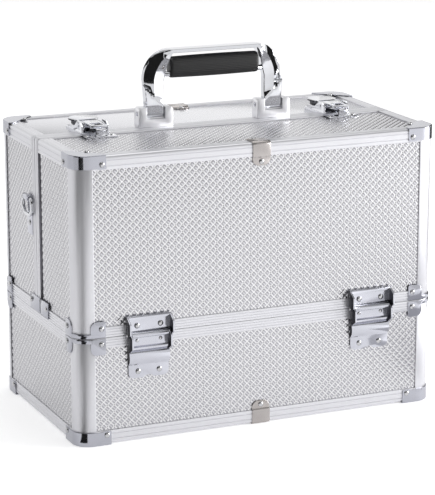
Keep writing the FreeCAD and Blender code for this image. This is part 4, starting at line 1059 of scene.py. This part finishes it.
# each lamp's place, the height it looks at, its size in metres and its watts
lamps = {
    "keyLamp": ((-0.5, -1.2, 2.3), 0.12, (1.0, 1.0), 3),
    "sideLamp": ((1.7, -0.85, 0.6), 0.12, (0.9, 0.8), 26),
    "topLamp": ((0.2, 0.3, 1.9), 0.2, (1.4, 1.4), 7),
}
# dark cloths that stand round the set: direction, width, foot and top
standingCloths = {
    "leftCloth": (203, 1.25, 0.0, 2.2),
    "cameraCloth": (253, 1.5, 0.4, 1.9),
    "rightCloth": (33, 1.2, 0.0, 1.6),
}
# cloths on the table: shade and corners; the runner leads away from the near left corner
tableCloths = {
    "rightTable": ("grey", ((0.2, -0.3), (0.65, -0.42), (0.65, -0.12), (0.19, -0.112))),
    "farTable": ("dark", ((0.5, 0.1), (1.6, 0.0), (1.5, 1.3), (0.5, 0.5))),
    "runner": ("dark", ((-0.1784, -0.0964), (-1.771, -1.092), (-1.05, -1.76),
                        (-0.1692, -0.1047))),
}


def paleFloor():
    material, tree, shader = startMaterial("paleFloor", studio["floorHex"], 0.0, 0.7)[:3]
    ray = addNode(tree, "ShaderNodeLightPath").outputs
    shine = addNode(tree, "ShaderNodeMath", {"operation": "MULTIPLY", 1: studio["floorShine"]},
                    {0: ray["Is Glossy Ray"]})
    glow = addNode(tree, "ShaderNodeMath", {"operation": "MULTIPLY_ADD", 1: studio["floorGlow"]},
                   {0: ray["Is Camera Ray"], 2: shine.outputs[0]})
    tree.links.new(glow.outputs[0], shader.inputs["Emission Strength"])
    shader.inputs["Emission Color"].default_value = (1, 1, 1, 1)
    form = bmesh.new()
    half = studio["floorSize"] / 2
    form.faces.new([form.verts.new((x * half, y * half, 0))
                    for x, y in ((-1, -1), (1, -1), (1, 1), (-1, 1))])
    floor = newPiece("studioFloor", meshFrom("studioFloor", form))
    floor.data.materials.append(material)


def studioWorld():
    # white to the camera; the metal sees a room that is brighter behind the case
    world = bpy.data.worlds.new("softRoom")
    world.use_nodes = True
    scene.world = world
    tree = world.node_tree
    back = tree.nodes["Background"]
    ray = addNode(tree, "ShaderNodeLightPath").outputs
    toward = addNode(tree, "ShaderNodeSeparateXYZ", None,
                     {0: addNode(tree, "ShaderNodeTexCoord").outputs["Generated"]}).outputs

    def fade(source, between, low, high):
        settings = {"interpolation_type": "SMOOTHSTEP", "From Min": between[0],
                    "From Max": between[1], "To Min": low, "To Max": high}
        return addNode(tree, "ShaderNodeMapRange", settings, {"Value": source}).outputs["Result"]

    room = fade(toward["Y"], studio["depthFade"], studio["inFront"], studio["behind"])
    height = fade(toward["Z"], studio["heightFade"], 1.0, studio["wallTop"])
    walls = addNode(tree, "ShaderNodeMath", {"operation": "MULTIPLY"}, {0: room, 1: height})
    shine = addNode(tree, "ShaderNodeMath", {"operation": "MAXIMUM"},
                    {0: ray["Is Glossy Ray"], 1: ray["Is Transmission Ray"]})
    light = addNode(tree, "ShaderNodeMix", {2: studio["roomLight"]},
                    {0: shine.outputs[0], 3: walls.outputs[0]})
    level = addNode(tree, "ShaderNodeMath", {"operation": "MAXIMUM"},
                    {0: ray["Is Camera Ray"], 1: light.outputs[0]})
    back.inputs["Color"].default_value = (1, 1, 1, 1)
    tree.links.new(level.outputs[0], back.inputs["Strength"])


def softLamp(name, at, aimHeight, size, watts):
    lamp = bpy.data.lights.new(name, "AREA")
    lamp.shape = "RECTANGLE"
    lamp.size, lamp.size_y = size
    lamp.energy = watts
    holder = bpy.data.objects.new(name, lamp)
    holder.location = at
    toward = Vector((0, 0, aimHeight)) - Vector(at)
    holder.rotation_euler = toward.to_track_quat("-Z", "Y").to_euler()
    scene.collection.objects.link(holder)


def cloth(name, shade, corners):
    # a cloth beside the set or on the table, seen only in the polished metal
    material = startMaterial(name, studio[shade], 0.0, 1.0)[0]
    form = bmesh.new()
    form.faces.new([form.verts.new(corner) for corner in corners])
    card = newPiece(name, meshFrom(name, form))
    card.data.materials.append(material)
    card.visible_camera = False
    card.visible_diffuse = False
    card.visible_shadow = False


def standing(azimuth, width, low, high):
    angle = math.radians(azimuth)
    centre = Vector((math.cos(angle), math.sin(angle), 0)) * studio["clothDistance"]
    aside = Vector((-math.sin(angle), math.cos(angle), 0)) * width / 2
    return [centre + aside * s + Vector((0, 0, z))
            for s, z in ((-1, low), (1, low), (1, high), (-1, high))]


paleFloor()
studioWorld()
for name, lamp in lamps.items():
    softLamp(name, *lamp)
for name, place in standingCloths.items():
    cloth(name, "dark", standing(*place))
for name, (shade, corners) in tableCloths.items():
    cloth(name, shade, [(x, y, studio["tableLevel"]) for x, y in corners])

view = {
    "target": (0.01252, 0.0, 0.13737),
    "azimuth": -23.86, "elevation": 14.08,   # degrees from the middle of the front
    "distance": 2.1008, "lens": 164.12, "shift": (-0.0225, 0.005),
}


def studioCamera():
    camera = bpy.data.cameras.new("caseCamera")
    camera.lens = view["lens"]
    camera.shift_x, camera.shift_y = view["shift"]
    holder = bpy.data.objects.new("caseCamera", camera)
    az, el = math.radians(view["azimuth"]), math.radians(view["elevation"])
    look = Vector((-math.sin(az) * math.cos(el), math.cos(az) * math.cos(el), -math.sin(el)))
    holder.location = Vector(view["target"]) - look * view["distance"]
    holder.rotation_euler = look.to_track_quat("-Z", "Y").to_euler()
    scene.collection.objects.link(holder)
    scene.camera = holder


studioCamera()
scene.view_settings.view_transform = "Standard"
report("studio lit")
